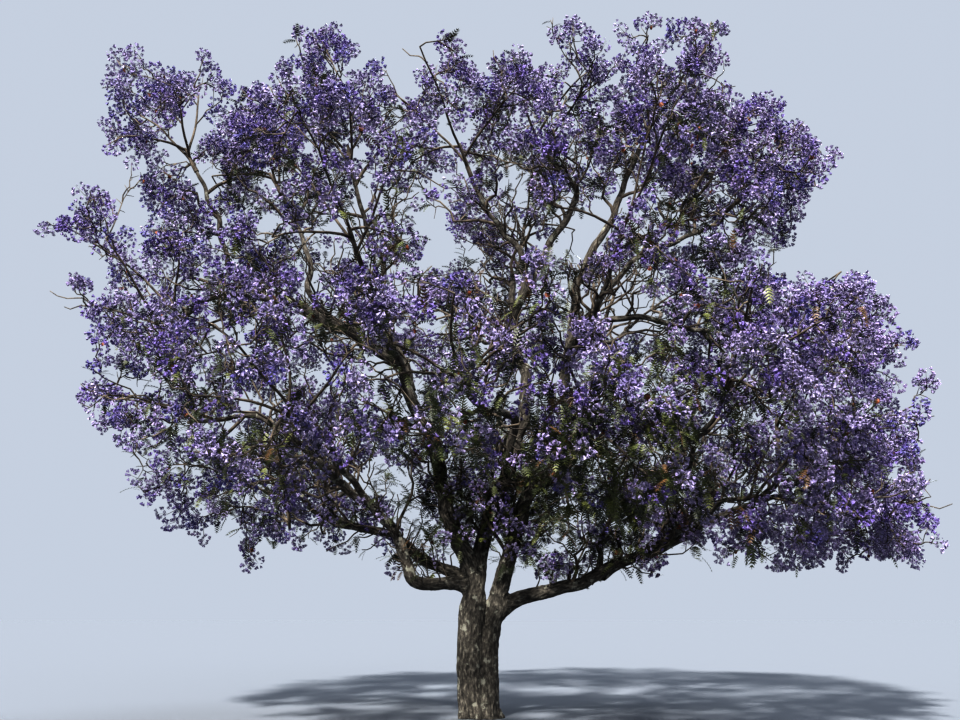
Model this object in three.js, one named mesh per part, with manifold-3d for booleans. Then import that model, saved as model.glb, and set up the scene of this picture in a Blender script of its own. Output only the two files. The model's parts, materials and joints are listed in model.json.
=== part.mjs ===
// A jacaranda in full blossom: a twin-stemmed trunk, its boughs, and a mass of twigs and
// blossom on the tip of each bough. Millimetres, +Z up, with the origin in the middle of the
// flat cut under the trunk. +X is to the right and +Y away, as seen from VIEWPOINT.

import * as THREE from 'three';
import Module from 'manifold-3d';

const wasm = await Module();
wasm.setup();

// Gaps and faces
const CLEAR = 0.4;
const STEM_SIDES = 10;
const PRIMARY_SIDES = 8;
const SIDE_BOUGH_SIDES = 6;
const TWIG_SIDES = 3;
const RING_STEP = 900;

// Trunk: two stems grown together from one flared foot
const TRUNK_STEMS = {
  left_stem: {
    middles: [[-80, 0, 0], [-100, 0, 130], [-125, 0, 420], [-135, 0, 900], [-125, 0, 1400], [-60, 0, 1950]],
    radii: [252, 226, 214, 208, 204, 190],
    flare: 46,
  },
  right_stem: {
    middles: [[85, 0, 0], [90, 5, 130], [105, 10, 420], [120, 15, 900], [175, 20, 1300], [250, 20, 1620]],
    radii: [246, 204, 176, 154, 146, 134],
    flare: 52,
  },
};
const FLARE_HEIGHT = 300;
const FLARE_LOBES = 5;
const STUB_LENGTH = 560;

// Limbs: how fast they thin, how crooked they are, and how a side bough leaves its parent
const TIP_TO_FOOT = 0.36;
const THINNEST_TIP = 30;
const CROOK = 0.016;
const CROOK_WAVES = 5;
const THINNING = 0.8;
const SIDE_SHARE = 0.78;
const LEAVE_SHARE = 0.3;
const ARCH_SHARE = 0.65;
const DIRECTION_STEP = 0.01;

// Masses: an oval space, deeper than wide and flatter than wide
const DEEP = 1.25;
const FLAT = 0.85;
const TIP_INSIDE = 0.55;
const SPACE_MARGIN = 18;
const LIMB_MARGIN = 6;
const LIMB_SAMPLE_STEP = 45;
const LIMB_SAMPLE_EXTRA = 12;
const CROWN_FLOOR = 1880;
const CROWN_HEART = [200, 300, 4200];
const INWARD_REACH = 0.4;

// Twigs and sprays of blossom, larger than life
const STEM_SHARE = 0.3;
const STEM_RADII = [38, 26];
const TWIGS = 5;
const TWIG_RADII = [13, 9];
const TWIG_BEND = 0.12;
const TWIG_STARTS = [0.2, 0.92];
const TWIG_REACH = [0.35, 0.68];
const SHORTEST_TWIG = 350;
const SPRAYS_PER_METRE = 8;
const SPRAY_LENGTHS = [480, 1300];
const SPRAY_SPACING = 0.42;
const SPRAY_WIDTH = 0.28;
const SPRAY_THICKNESS = 0.19;
const SPRAY_SHOULDER = 0.6;
const SPRAY_REACH = [0.4, 1];
const SPRAY_TURN = 1.2;
const SPRAY_CORE = { towardsRoot: 0.3, towardsTip: 0.4, width: 0.8 };
const END_ROOT = 0.98;
const LOWER_ROOTS = [0.4, 0.8];
const UPPER_ROOTS = [0.2, 0.5, 0.8];
const TRIES = 12;
const MOST_TRIES = 900;
const END_TRIES = 60;
const MASS_SEED = 1000;

// Sky that shows through the crown from the viewpoint: each gap is a straight channel along
// the line of sight through a place above the trunk's plane
const VIEWPOINT = new THREE.Vector3(0, -15000, 1450);
const SKY_GAPS = [
  { right: 1650, height: 7650, size: 330 },
  { right: 2500, height: 6150, size: 330 },
  { right: -5150, height: 9250, size: 230 },
  { right: -4600, height: 8500, size: 230 },
  { right: -500, height: 7200, size: 220 },
  { right: -1300, height: 10300, size: 200 },
  { right: 1040, height: 11050, size: 240 },
  { right: 5650, height: 7350, size: 380 },
];

const BARK_COLOUR = 0x6f6459;
const BOUGH_COLOUR = 0x7a6d60;
const BLOSSOM_COLOUR = 0x8f7fd6;
const BARK_ROUGHNESS = 0.95;
const BLOSSOM_ROUGHNESS = 0.8;

// One row for each bough and the mass on its tip. from: the stem or bough that it leaves, and
// at: how far along; mass: the middle of its mass; spread: the mass's half width; by: corners
// that a bough passes, or bow: how far it arches up, as a share of its length; foot: radius.
const BOUGHS = [
  { name: 'low_right', from: 'right_stem', mass: [5450, -200, 4350], spread: 1750, foot: 104,
    by: [[1200, -50, 1850], [2320, -120, 2230], [3570, -160, 2830], [4550, -190, 3440]] },
  { name: 'low_left', from: 'left_stem', mass: [-4780, -400, 4850], spread: 1700, foot: 98,
    by: [[-1030, -200, 1960], [-1160, -230, 2600], [-2390, -300, 3600], [-3430, -300, 4400]] },
  { name: 'left_second', from: 'left_stem', mass: [-3900, 900, 3600], spread: 1600, foot: 92,
    by: [[-700, 180, 2200], [-1370, 320, 2650], [-2450, 480, 2920], [-3100, 600, 3650]] },
  { name: 'rising_left', from: 'left_stem', mass: [-5450, -100, 6800], spread: 1800, foot: 124,
    by: [[-300, -20, 2560], [-510, -60, 3380], [-980, -150, 4530], [-1530, -200, 5340],
      [-3000, -200, 6270], [-4400, -80, 6400]] },
  { name: 'centre', from: 'left_stem', mass: [1400, 300, 9950], spread: 1700, foot: 118,
    by: [[110, 160, 2650], [520, 250, 4040], [620, 250, 5200], [700, 200, 6300], [1600, 300, 8430]] },
  { name: 'rising_right', from: 'right_stem', mass: [3000, 0, 9980], spread: 1700, foot: 116,
    by: [[450, -60, 2400], [700, -120, 3160], [1280, -150, 3900], [1570, -100, 6160],
      [2000, 0, 7600]] },

  { name: 'right_low', from: 'low_right', at: 0.8,
    mass: [5450, -600, 3120], spread: 1500, bow: 0.15 },
  { name: 'front_right_low', from: 'low_right', at: 0.58,
    mass: [4100, -1900, 3350], spread: 1600, bow: 0.12 },
  { name: 'right_inner', from: 'low_right', at: 0.26,
    mass: [2150, -500, 3450], spread: 1550, bow: 0.06 },
  { name: 'front_right_far', from: 'low_right', at: 0.48,
    mass: [3400, -3100, 4700], spread: 1800, bow: 0.02 },
  { name: 'back_low_right', from: 'low_right', at: 0.3,
    mass: [3900, 3200, 4200], spread: 2000, bow: 0.04 },
  { name: 'front_low_left', from: 'low_left', at: 0.42,
    mass: [-2700, -3000, 4300], spread: 1800, bow: 0.06 },
  { name: 'back_low_left', from: 'left_second', at: 0.5,
    mass: [-2900, 3500, 4300], spread: 2000, bow: 0.04 },
  { name: 'top_left_centre', from: 'rising_left', at: 0.43,
    mass: [-2400, 100, 9600], spread: 1750, bow: 0 },
  { name: 'upper_left', from: 'rising_left', at: 0.6,
    mass: [-3800, 500, 9200], spread: 1600, bow: 0 },
  { name: 'top_left', from: 'rising_left', at: 0.8,
    mass: [-5200, 0, 9400], spread: 1550, bow: -0.05 },
  { name: 'front_upper_left', from: 'rising_left', at: 0.38,
    mass: [-2000, -2600, 7050], spread: 2000, bow: -0.05 },
  { name: 'back_left', from: 'rising_left', at: 0.53,
    mass: [-3600, 3100, 7200], spread: 2000, bow: 0 },
  { name: 'top_centre', from: 'centre', at: 0.62,
    mass: [-550, -400, 9450], spread: 1900, bow: 0.03 },
  { name: 'back_top', from: 'centre', at: 0.55,
    mass: [900, 2900, 9200], spread: 1950, bow: 0.02 },
  { name: 'back', from: 'centre', at: 0.45,
    mass: [-300, 4500, 7300], spread: 2000, bow: 0.02 },
  { name: 'back_low', from: 'centre', at: 0.28,
    mass: [300, 4700, 4400], spread: 2000, bow: 0.06 },
  { name: 'front_centre', from: 'centre', at: 0.22,
    mass: [-300, -3900, 4400], spread: 1700, bow: 0.05 },
  { name: 'right_shoulder', from: 'rising_right', at: 0.55, mass: [4600, -300, 8300], spread: 1350,
    by: [[2530, -120, 7020], [3800, -150, 7650]] },
  { name: 'upper_right', from: 'right_shoulder', at: 0.6,
    mass: [4100, 600, 9200], spread: 1500, bow: 0 },
  { name: 'right_upper', from: 'rising_right', at: 0.5,
    mass: [5350, 200, 5900], spread: 1750, bow: 0.1 },
  { name: 'front_upper_right', from: 'rising_right', at: 0.44,
    mass: [2150, -2600, 7000], spread: 1950, bow: -0.03 },
  { name: 'back_right', from: 'rising_right', at: 0.47,
    mass: [3300, 3300, 7200], spread: 2000, bow: 0 },
  { name: 'front_right', from: 'rising_right', at: 0.28,
    mass: [1500, -3400, 3850], spread: 1600, bow: 0.05 },
];

const UP = new THREE.Vector3(0, 0, 1);

// Numbers that look random but are the same every time
function seededRandom(seed) {
  let state = 7919 * (seed + 11);
  return () => {
    state = (state * 48271) % 2147483647;
    return state / 2147483647;
  };
}

// A route through corners, with its places found by their share of the whole length
function route(corners) {
  const curve = new THREE.CatmullRomCurve3(corners, false, 'centripetal');
  curve.arcLengthDivisions = 120;
  return curve;
}

// The middle line of a limb: its route, with a seeded sway that dies out at both ends
function limbLine(corners, seed) {
  const curve = route(corners);
  const length = curve.getLength();
  const random = seededRandom(seed);
  const phases = [random(), random(), random(), random()].map((share) => share * 2 * Math.PI);
  const sway = (share, first, second) =>
    Math.sin(share * CROOK_WAVES * 2 + first) + 0.6 * Math.sin(share * CROOK_WAVES * 5 + second);
  const pointAt = (share) => {
    const size = CROOK * length * Math.sin(Math.PI * share);
    const point = curve.getPointAt(Math.min(1, share));
    point.x += size * sway(share, phases[0], phases[1]);
    point.y += size * sway(share, phases[2], phases[3]);
    return point;
  };
  const directionAt = (share) => {
    const before = pointAt(Math.max(0, share - DIRECTION_STEP));
    const after = pointAt(Math.min(1, share + DIRECTION_STEP));
    return after.sub(before).normalize();
  };
  return { length, pointAt, directionAt };
}

// A ring of points round a middle, square to a direction; side is where its first point lies
function ring(middle, direction, side, sides, radiusOf) {
  const across = side.clone().addScaledVector(direction, -side.dot(direction)).normalize();
  const over = direction.clone().cross(across);
  const points = [];
  for (let index = 0; index < sides; index += 1) {
    const angle = (index * 2 * Math.PI) / sides;
    const radius = radiusOf(angle);
    points.push(middle.clone()
      .addScaledVector(across, radius * Math.cos(angle))
      .addScaledVector(over, radius * Math.sin(angle)));
  }
  return { points, side: across };
}

// A closed solid through rings of points, with flat ends
function loft(rings) {
  const sides = rings[0].length;
  const vertices = rings.flat().flatMap((point) => [point.x, point.y, point.z]);
  const triangles = [];
  for (let row = 0; row < rings.length - 1; row += 1) {
    for (let index = 0; index < sides; index += 1) {
      const next = (index + 1) % sides;
      const lower = row * sides;
      const upper = lower + sides;
      triangles.push(lower + index, lower + next, upper + next);
      triangles.push(lower + index, upper + next, upper + index);
    }
  }
  const last = (rings.length - 1) * sides;
  for (let index = 1; index < sides - 1; index += 1) {
    triangles.push(0, index + 1, index);
    triangles.push(last, last + index, last + index + 1);
  }
  return solid(vertices, triangles);
}

function solid(vertices, triangles) {
  return new wasm.Manifold(new wasm.Mesh({
    numProp: 3,
    vertProperties: Float32Array.from(vertices),
    triVerts: Uint32Array.from(triangles),
  }));
}

// The geometry of a solid's largest piece: loose scraps are dropped and sealed hollows filled
function largestPiece(joined) {
  const mesh = joined.getMesh();
  const parent = Array.from({ length: mesh.numVert }, (_, index) => index);
  const find = (vertex) => {
    let root = vertex;
    while (parent[root] !== root) root = parent[root];
    parent[vertex] = root;
    return root;
  };
  for (let corner = 0; corner < mesh.triVerts.length; corner += 3) {
    const root = find(mesh.triVerts[corner]);
    parent[find(mesh.triVerts[corner + 1])] = root;
    parent[find(mesh.triVerts[corner + 2])] = root;
  }
  const sizes = new Map();
  for (const vertex of mesh.triVerts) sizes.set(find(vertex), (sizes.get(find(vertex)) ?? 0) + 1);
  const largest = [...sizes.entries()].sort((one, other) => other[1] - one[1])[0][0];
  const renumbered = new Map();
  const places = [];
  const triangles = [];
  for (const vertex of mesh.triVerts) {
    if (find(vertex) !== largest) continue;
    if (!renumbered.has(vertex)) {
      renumbered.set(vertex, renumbered.size);
      places.push(...mesh.vertProperties.slice(vertex * mesh.numProp, vertex * mesh.numProp + 3));
    }
    triangles.push(renumbered.get(vertex));
  }
  const geometry = new THREE.BufferGeometry();
  geometry.setAttribute('position', new THREE.Float32BufferAttribute(places, 3));
  geometry.setIndex(triangles);
  return geometry;
}

function vector([x, y, z]) {
  return new THREE.Vector3(x, y, z);
}

// The oval space of a mass, and the tip of its bough, a little inside it
function massSpace(row, foot) {
  const middle = vector(row.mass);
  const outward = middle.clone().sub(foot).normalize();
  return {
    middle,
    spread: row.spread,
    outward: middle.clone().sub(vector(CROWN_HEART)).normalize(),
    tip: middle.clone().addScaledVector(outward, -row.spread * TIP_INSIDE),
  };
}

// The corners of a side bough: it leaves along its parent, arches, and ends at its tip
function sideCorners(foot, parentDirection, tip, bow) {
  const span = tip.clone().sub(foot);
  const length = span.length();
  const leave = span.clone().normalize().add(parentDirection).normalize();
  const early = foot.clone().addScaledVector(leave, length * LEAVE_SHARE);
  const late = foot.clone().addScaledVector(span, ARCH_SHARE).addScaledVector(UP, length * bow);
  return [foot, early, late, tip];
}

// Every limb's line, radii and mass space, worked out from the rows above
function growLimbs() {
  const limbs = new Map();
  BOUGHS.forEach((row, order) => {
    const parent = limbs.get(row.from);
    const stem = TRUNK_STEMS[row.from];
    const foot = parent ? parent.line.pointAt(row.at) : vector(stem.middles.at(-1));
    const space = massSpace(row, foot);
    const corners = row.by
      ? [foot, ...row.by.map(vector), space.tip]
      : sideCorners(foot, parent.line.directionAt(row.at), space.tip, row.bow);
    const line = limbLine(corners, order);
    const footRadius = row.foot ?? parent.radiusAt(row.at) * SIDE_SHARE;
    const tipRadius = Math.max(THINNEST_TIP, footRadius * TIP_TO_FOOT);
    limbs.set(row.name, {
      ...row,
      order,
      parent,
      line,
      space,
      start: parent ? 0 : (STUB_LENGTH + CLEAR) / line.length,
      sides: parent ? SIDE_BOUGH_SIDES : PRIMARY_SIDES,
      radiusAt: (share) => footRadius + (tipRadius - footRadius) * share ** THINNING,
    });
  });
  return limbs;
}

// A tapering tube along part of a limb's line; extra swells it evenly
function limbTube(limb, from, to, extra = 0) {
  const steps = Math.max(2, Math.round((limb.line.length * (to - from)) / RING_STEP));
  const rings = [];
  let side = limb.line.directionAt(0).cross(UP).normalize();
  for (let step = 0; step <= steps; step += 1) {
    const share = from + ((to - from) * step) / steps;
    const radius = limb.radiusAt(share) + extra;
    const middle = limb.line.pointAt(share);
    const made = ring(middle, limb.line.directionAt(share), side, limb.sides, () => radius);
    side = made.side;
    rings.push(made.points);
  }
  return loft(rings);
}

// A bough, cut clear of the bough that it grows from
function boughSolid(limb) {
  const tube = limbTube(limb, limb.start, 1);
  if (!limb.parent) return tube;
  return tube.subtract(limbTube(limb.parent, limb.parent.start, 1, CLEAR + 0.1));
}

// One stem of the trunk, with flared lobes at its foot
function trunkStem(stem) {
  const rings = stem.middles.map((middle, index) => {
    const height = middle[2];
    const flare = stem.flare * Math.max(0, 1 - height / FLARE_HEIGHT) ** 2;
    const radiusOf = (angle) => stem.radii[index] + flare * Math.cos(angle * FLARE_LOBES);
    return ring(vector(middle), UP, new THREE.Vector3(1, 0, 0), STEM_SIDES, radiusOf).points;
  });
  return loft(rings);
}

// The trunk: both stems and the stub of each bough that starts from them
function trunkSolid(limbs) {
  let trunk = trunkStem(TRUNK_STEMS.left_stem).add(trunkStem(TRUNK_STEMS.right_stem));
  for (const limb of limbs.values()) {
    if (!limb.parent) trunk = trunk.add(limbTube(limb, 0, STUB_LENGTH / limb.line.length));
  }
  return trunk;
}

// A place in the stretched frame in which every mass space is a ball
function stretched(point) {
  return new THREE.Vector3(point.x, point.y / DEEP, point.z / FLAT);
}

// Whether a point lies in a mass's own space: its oval, and nearer to it than to any other
function inSpace(limb, limbs, point, margin) {
  const place = stretched(point);
  const own = stretched(limb.space.middle);
  if (place.distanceTo(own) > limb.space.spread || point.z < CROWN_FLOOR) return false;
  for (const other of limbs) {
    if (other === limb) continue;
    const theirs = stretched(other.space.middle);
    const apart = theirs.distanceTo(own);
    const excess = place.distanceToSquared(theirs) - other.space.spread ** 2
      - place.distanceToSquared(own) + limb.space.spread ** 2;
    if (excess / (2 * apart) < margin + SPACE_MARGIN) return false;
  }
  return true;
}

// Whether a straight piece from one point to another stays clear of every limb
function clearOfLimbs(samples, from, to, radius) {
  const piece = new THREE.Line3(from, to);
  const nearest = new THREE.Vector3();
  return samples.every((sample) => {
    piece.closestPointToPoint(sample.point, true, nearest);
    return nearest.distanceTo(sample.point) > sample.radius + radius + LIMB_MARGIN;
  });
}

// Whether a point lies in a gap where sky shows
function inSkyGap(point) {
  return SKY_GAPS.some((gap) => {
    const towards = new THREE.Vector3(gap.right, 0, gap.height).sub(VIEWPOINT).normalize();
    return new THREE.Ray(VIEWPOINT, towards).distanceToPoint(point) < gap.size;
  });
}

// Places all along the limbs, close enough together to test twigs against
function limbSamples(limbs) {
  const samples = [];
  for (const limb of limbs) {
    const steps = Math.ceil(limb.line.length / LIMB_SAMPLE_STEP);
    for (let step = 0; step <= steps; step += 1) {
      const share = step / steps;
      samples.push({ point: limb.line.pointAt(share), radius: limb.radiusAt(share) + LIMB_SAMPLE_EXTRA });
    }
  }
  return samples;
}

// A seeded place in a mass's oval, between two shares of the way to its surface
function placeInMass(limb, random, [inner, outer]) {
  const height = 2 * random() - 1;
  const turn = 2 * Math.PI * random();
  const away = Math.cbrt(inner ** 3 + (outer ** 3 - inner ** 3) * random()) * limb.space.spread;
  const level = Math.sqrt(1 - height * height) * away;
  const step = new THREE.Vector3(Math.cos(turn) * level, Math.sin(turn) * level * DEEP, height * away * FLAT);
  if (step.dot(limb.space.outward) < -INWARD_REACH * limb.space.spread) step.negate();
  return step.add(limb.space.middle);
}

// The one of several fitting places that lies furthest from those already taken
function mostOpen(taken, draw) {
  let best = null;
  let bestGap = -1;
  for (let attempt = 0; attempt < TRIES; attempt += 1) {
    const found = draw();
    if (!found) continue;
    const gap = Math.min(Infinity, ...taken.map((point) => point.distanceTo(found.tip)));
    if (gap > bestGap) {
      best = found;
      bestGap = gap;
    }
  }
  return best;
}

// A three-sided twig along a few points, thinning towards its end
function twigSolid(points, radii) {
  let side = points[1].clone().sub(points[0]).cross(UP).normalize();
  const rings = points.map((point, index) => {
    const before = points[Math.max(0, index - 1)];
    const after = points[Math.min(points.length - 1, index + 1)];
    const share = index / (points.length - 1);
    const radius = radii[0] + (radii[1] - radii[0]) * share;
    const made = ring(point, after.clone().sub(before).normalize(), side, TWIG_SIDES, () => radius);
    side = made.side;
    return made.points;
  });
  return loft(rings);
}

// A spray of blossom: eight faces from its root through four shoulders to its tip
function sprayPoints(root, tip, turn) {
  const axis = tip.clone().sub(root);
  const length = axis.length();
  const across = axis.clone().cross(UP).normalize();
  const over = axis.clone().cross(across).normalize();
  const shoulder = root.clone().addScaledVector(axis, SPRAY_SHOULDER);
  const corners = [0, 1, 2, 3].map((index) => {
    const angle = turn + (index * Math.PI) / 2;
    return shoulder.clone()
      .addScaledVector(across, length * SPRAY_WIDTH * Math.cos(angle))
      .addScaledVector(over, length * SPRAY_THICKNESS * Math.sin(angle));
  });
  return [root, ...corners, tip];
}

function spraySolid(points) {
  const triangles = [];
  for (let index = 0; index < 4; index += 1) {
    const here = 1 + index;
    const next = 1 + ((index + 1) % 4);
    triangles.push(0, next, here, 5, here, next);
  }
  return solid(points.flatMap((point) => [point.x, point.y, point.z]), triangles);
}

// The twigs of a mass: one stem from the bough's tip, and bent twigs that spread from it
function growTwigs(limb, limbs, samples, random) {
  const direction = limb.line.directionAt(1);
  const foot = limb.line.pointAt(1).addScaledVector(direction, CLEAR);
  const head = foot.clone().addScaledVector(direction, limb.space.spread * STEM_SHARE);
  const stem = { points: [foot, head], radii: STEM_RADII };
  const twigs = [];
  const ends = [];
  const drawTwig = () => {
    const tip = placeInMass(limb, random, TWIG_REACH);
    const along = THREE.MathUtils.lerp(...TWIG_STARTS, twigs.length / (TWIGS - 1));
    const start = foot.clone().lerp(head, along);
    const way = tip.clone().sub(start);
    const bend = TWIG_BEND * way.length();
    const sideways = way.clone().cross(UP).normalize();
    const elbow = start.clone()
      .addScaledVector(way, 0.5)
      .addScaledVector(sideways, (random() - 0.5) * 2 * bend)
      .addScaledVector(UP, bend);
    const fits = way.length() > SHORTEST_TWIG
      && inSpace(limb, limbs, tip, TWIG_RADII[0])
      && inSpace(limb, limbs, elbow, TWIG_RADII[0])
      && clearOfLimbs(samples, start, elbow, TWIG_RADII[0])
      && clearOfLimbs(samples, elbow, tip, TWIG_RADII[0]);
    return fits ? { tip, points: [start, elbow, tip], radii: TWIG_RADII } : null;
  };
  for (let tries = 0; tries < MOST_TRIES && twigs.length < TWIGS; tries += 1) {
    const twig = mostOpen([head, ...ends], drawTwig);
    if (!twig) continue;
    twigs.push(twig);
    ends.push(twig.tip);
  }
  return { stem, twigs };
}

// Places along the twigs where sprays can root
function rootPlaces(twigs) {
  const places = [];
  for (const twig of twigs) {
    const [start, elbow, end] = twig.points;
    for (const share of LOWER_ROOTS) places.push(start.clone().lerp(elbow, share));
    for (const share of UPPER_ROOTS) places.push(elbow.clone().lerp(end, share));
  }
  return places;
}

// The sprays of a mass: one on each twig's end, and the rest on the nearest free place of a
// twig, with all their tips spread evenly
function growSprays(limb, limbs, samples, random, twigs) {
  const ends = twigs.map((twig) => twig.points[1].clone().lerp(twig.tip, END_ROOT));
  const along = rootPlaces(twigs);
  let places = [];
  const count = Math.round((limb.space.spread / 1000) * SPRAYS_PER_METRE);
  const sprays = [];
  const tips = [];
  const drawSpray = () => {
    const tip = placeInMass(limb, random, SPRAY_REACH);
    const turn = (random() - 0.5) * SPRAY_TURN;
    const gaps = places.map((place) => place.distanceTo(tip));
    const length = Math.min(...gaps);
    if (length < SPRAY_LENGTHS[0] || length > SPRAY_LENGTHS[1]) return null;
    const root = places[gaps.indexOf(length)];
    const points = sprayPoints(root, tip, turn);
    const shoulder = root.clone().lerp(tip, SPRAY_SHOULDER);
    const coreStart = shoulder.clone().lerp(root, SPRAY_CORE.towardsRoot);
    const coreEnd = shoulder.clone().lerp(tip, SPRAY_CORE.towardsTip);
    const coreRadius = length * SPRAY_WIDTH * SPRAY_CORE.width;
    const room = (spray) => SPRAY_SPACING * (spray.length + length) / 2;
    const fits = points.every((point) => inSpace(limb, limbs, point, 0))
      && sprays.every((spray) => spray.shoulder.distanceTo(shoulder) > room(spray))
      && clearOfLimbs(samples, coreStart, coreEnd, coreRadius)
      && clearOfLimbs(samples, root, tip, TWIG_RADII[0])
      && !points.slice(1).some(inSkyGap)
      && !inSkyGap(shoulder);
    return fits ? { tip, points, root, shoulder, length } : null;
  };
  const place = (tries, wanted) => {
    for (let attempt = 0; attempt < tries && sprays.length < wanted; attempt += 1) {
      const spray = mostOpen(tips, drawSpray);
      if (!spray) continue;
      sprays.push(spray);
      tips.push(spray.tip);
      places.splice(places.indexOf(spray.root), 1);
    }
  };
  for (const end of ends) {
    places = [end];
    place(END_TRIES, sprays.length + 1);
  }
  places = along;
  place(MOST_TRIES, count);
  return sprays;
}

// A mass of foliage: its stem, twigs and sprays fused in one
function massSolid(limb, limbs, samples) {
  const random = seededRandom(MASS_SEED + limb.order);
  const { stem, twigs } = growTwigs(limb, limbs, samples, random);
  const sprays = growSprays(limb, limbs, samples, random, twigs);
  const pieces = [twigSolid(stem.points, stem.radii)];
  for (const twig of twigs) pieces.push(twigSolid(twig.points, twig.radii));
  for (const spray of sprays) pieces.push(spraySolid(spray.points));
  return wasm.Manifold.union(pieces);
}

function finish(color, roughness) {
  return new THREE.MeshStandardMaterial({ color, roughness, metalness: 0 });
}

const BARK = finish(BARK_COLOUR, BARK_ROUGHNESS);
const BOUGH_BARK = finish(BOUGH_COLOUR, BARK_ROUGHNESS);
const BLOSSOM = finish(BLOSSOM_COLOUR, BLOSSOM_ROUGHNESS);

function named(name, shape, material) {
  const mesh = new THREE.Mesh(largestPiece(shape), material);
  mesh.name = name;
  return mesh;
}

function buildTree() {
  const tree = new THREE.Group();
  const limbMap = growLimbs();
  const limbs = [...limbMap.values()];
  const samples = limbSamples(limbs);
  tree.add(named('trunk', trunkSolid(limbMap), BARK));
  for (const limb of limbs) {
    tree.add(named(`bough_${limb.name}`, boughSolid(limb), BOUGH_BARK));
    tree.add(named(`mass_${limb.name}`, massSolid(limb, limbs, samples), BLOSSOM));
  }
  return tree;
}

export default buildTree();
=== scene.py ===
"""A jacaranda in full blossom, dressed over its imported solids. Metres, +Z up, +X to the right and
+Y away from the camera. The limbs, twigs and sprays come from the same rule as the solids, and
finer twigs, blossom, leaves and pods grow on from them."""

import json
import math

import bpy
import numpy as np
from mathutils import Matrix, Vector, noise

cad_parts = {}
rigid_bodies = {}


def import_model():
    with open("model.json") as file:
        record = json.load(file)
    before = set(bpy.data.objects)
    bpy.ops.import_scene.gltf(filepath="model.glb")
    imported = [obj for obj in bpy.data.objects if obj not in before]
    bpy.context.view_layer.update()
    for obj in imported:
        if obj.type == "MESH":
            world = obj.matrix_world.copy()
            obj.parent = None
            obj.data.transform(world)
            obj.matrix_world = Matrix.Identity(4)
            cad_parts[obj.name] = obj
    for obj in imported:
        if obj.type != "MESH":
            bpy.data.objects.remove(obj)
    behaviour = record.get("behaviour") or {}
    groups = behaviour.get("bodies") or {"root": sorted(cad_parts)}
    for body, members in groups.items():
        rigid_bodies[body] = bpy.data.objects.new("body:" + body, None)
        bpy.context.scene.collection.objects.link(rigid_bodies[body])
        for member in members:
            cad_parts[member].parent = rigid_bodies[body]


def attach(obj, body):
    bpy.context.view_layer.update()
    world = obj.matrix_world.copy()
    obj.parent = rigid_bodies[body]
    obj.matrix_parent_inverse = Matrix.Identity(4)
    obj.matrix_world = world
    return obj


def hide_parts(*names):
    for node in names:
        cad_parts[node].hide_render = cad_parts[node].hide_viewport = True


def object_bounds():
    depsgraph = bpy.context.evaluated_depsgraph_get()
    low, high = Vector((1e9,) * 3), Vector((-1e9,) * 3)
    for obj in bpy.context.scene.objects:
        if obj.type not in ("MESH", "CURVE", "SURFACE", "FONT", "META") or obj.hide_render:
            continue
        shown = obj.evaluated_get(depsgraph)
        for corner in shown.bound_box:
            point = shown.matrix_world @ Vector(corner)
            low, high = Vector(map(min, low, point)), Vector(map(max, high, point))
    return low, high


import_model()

CAD_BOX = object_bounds()
UP = np.array([0.0, 0.0, 1.0])
# The least length that is divided by, and a step that gives a plumb line a side
SHORTEST = 1e-9
OFF_PLUMB = np.array([1e-4, 0.0, 0.0])
# How many points are measured at once
CHUNK = 2000

# The rule of the solids, in metres
CLEAR = 0.0004
TIP_TO_FOOT = 0.36
THINNEST_TIP = 0.030
CROOK = 0.016
CROOK_WAVES = 5
THINNING = 0.8
SIDE_SHARE = 0.78
LEAVE_SHARE = 0.3
ARCH_SHARE = 0.65
DIRECTION_STEP = 0.01
LENGTH_STEPS = 120
DEEP = 1.25
FLAT = 0.85
STRETCH = np.array([1.0, DEEP, FLAT])
TIP_INSIDE = 0.55
SPACE_MARGIN = 0.018
LIMB_MARGIN = 0.006
LIMB_SAMPLE_STEP = 0.045
LIMB_SAMPLE_EXTRA = 0.012
NEAR_REACH = 0.6
CROWN_FLOOR = 1.880
CROWN_HEART = np.array([0.2, 0.3, 4.2])
INWARD_REACH = 0.4
STEM_SHARE = 0.3
TWIGS = 5
TWIG_RADII = [0.013, 0.009]
TWIG_BEND = 0.12
TWIG_STARTS = [0.2, 0.92]
TWIG_REACH = [0.35, 0.68]
SHORTEST_TWIG = 0.350
SPRAYS_PER_METRE = 8.0
SPRAY_LENGTHS = [0.480, 1.300]
SPRAY_SPACING = 0.42
SPRAY_WIDTH = 0.28
SPRAY_THICKNESS = 0.19
SPRAY_SHOULDER = 0.6
SPRAY_REACH = [0.4, 1.0]
SPRAY_TURN = 1.2
CORE_TOWARDS_ROOT = 0.3
CORE_TOWARDS_TIP = 0.4
CORE_WIDTH = 0.8
END_ROOT = 0.98
LOWER_ROOTS = [0.4, 0.8]
UPPER_ROOTS = [0.2, 0.5, 0.8]
TRIES = 12
MOST_TRIES = 900
END_TRIES = 60
MASS_SEED = 1000

VIEWPOINT = np.array([0.0, -15.0, 1.45])
SKY_GAPS = [
    {"right": 1.65, "height": 7.65, "size": 0.33},
    {"right": 2.50, "height": 6.15, "size": 0.33},
    {"right": -5.15, "height": 9.25, "size": 0.23},
    {"right": -4.60, "height": 8.50, "size": 0.23},
    {"right": -0.50, "height": 7.20, "size": 0.22},
    {"right": -1.30, "height": 10.30, "size": 0.20},
    {"right": 1.04, "height": 11.05, "size": 0.24},
    {"right": 5.65, "height": 7.35, "size": 0.38},
]

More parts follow.
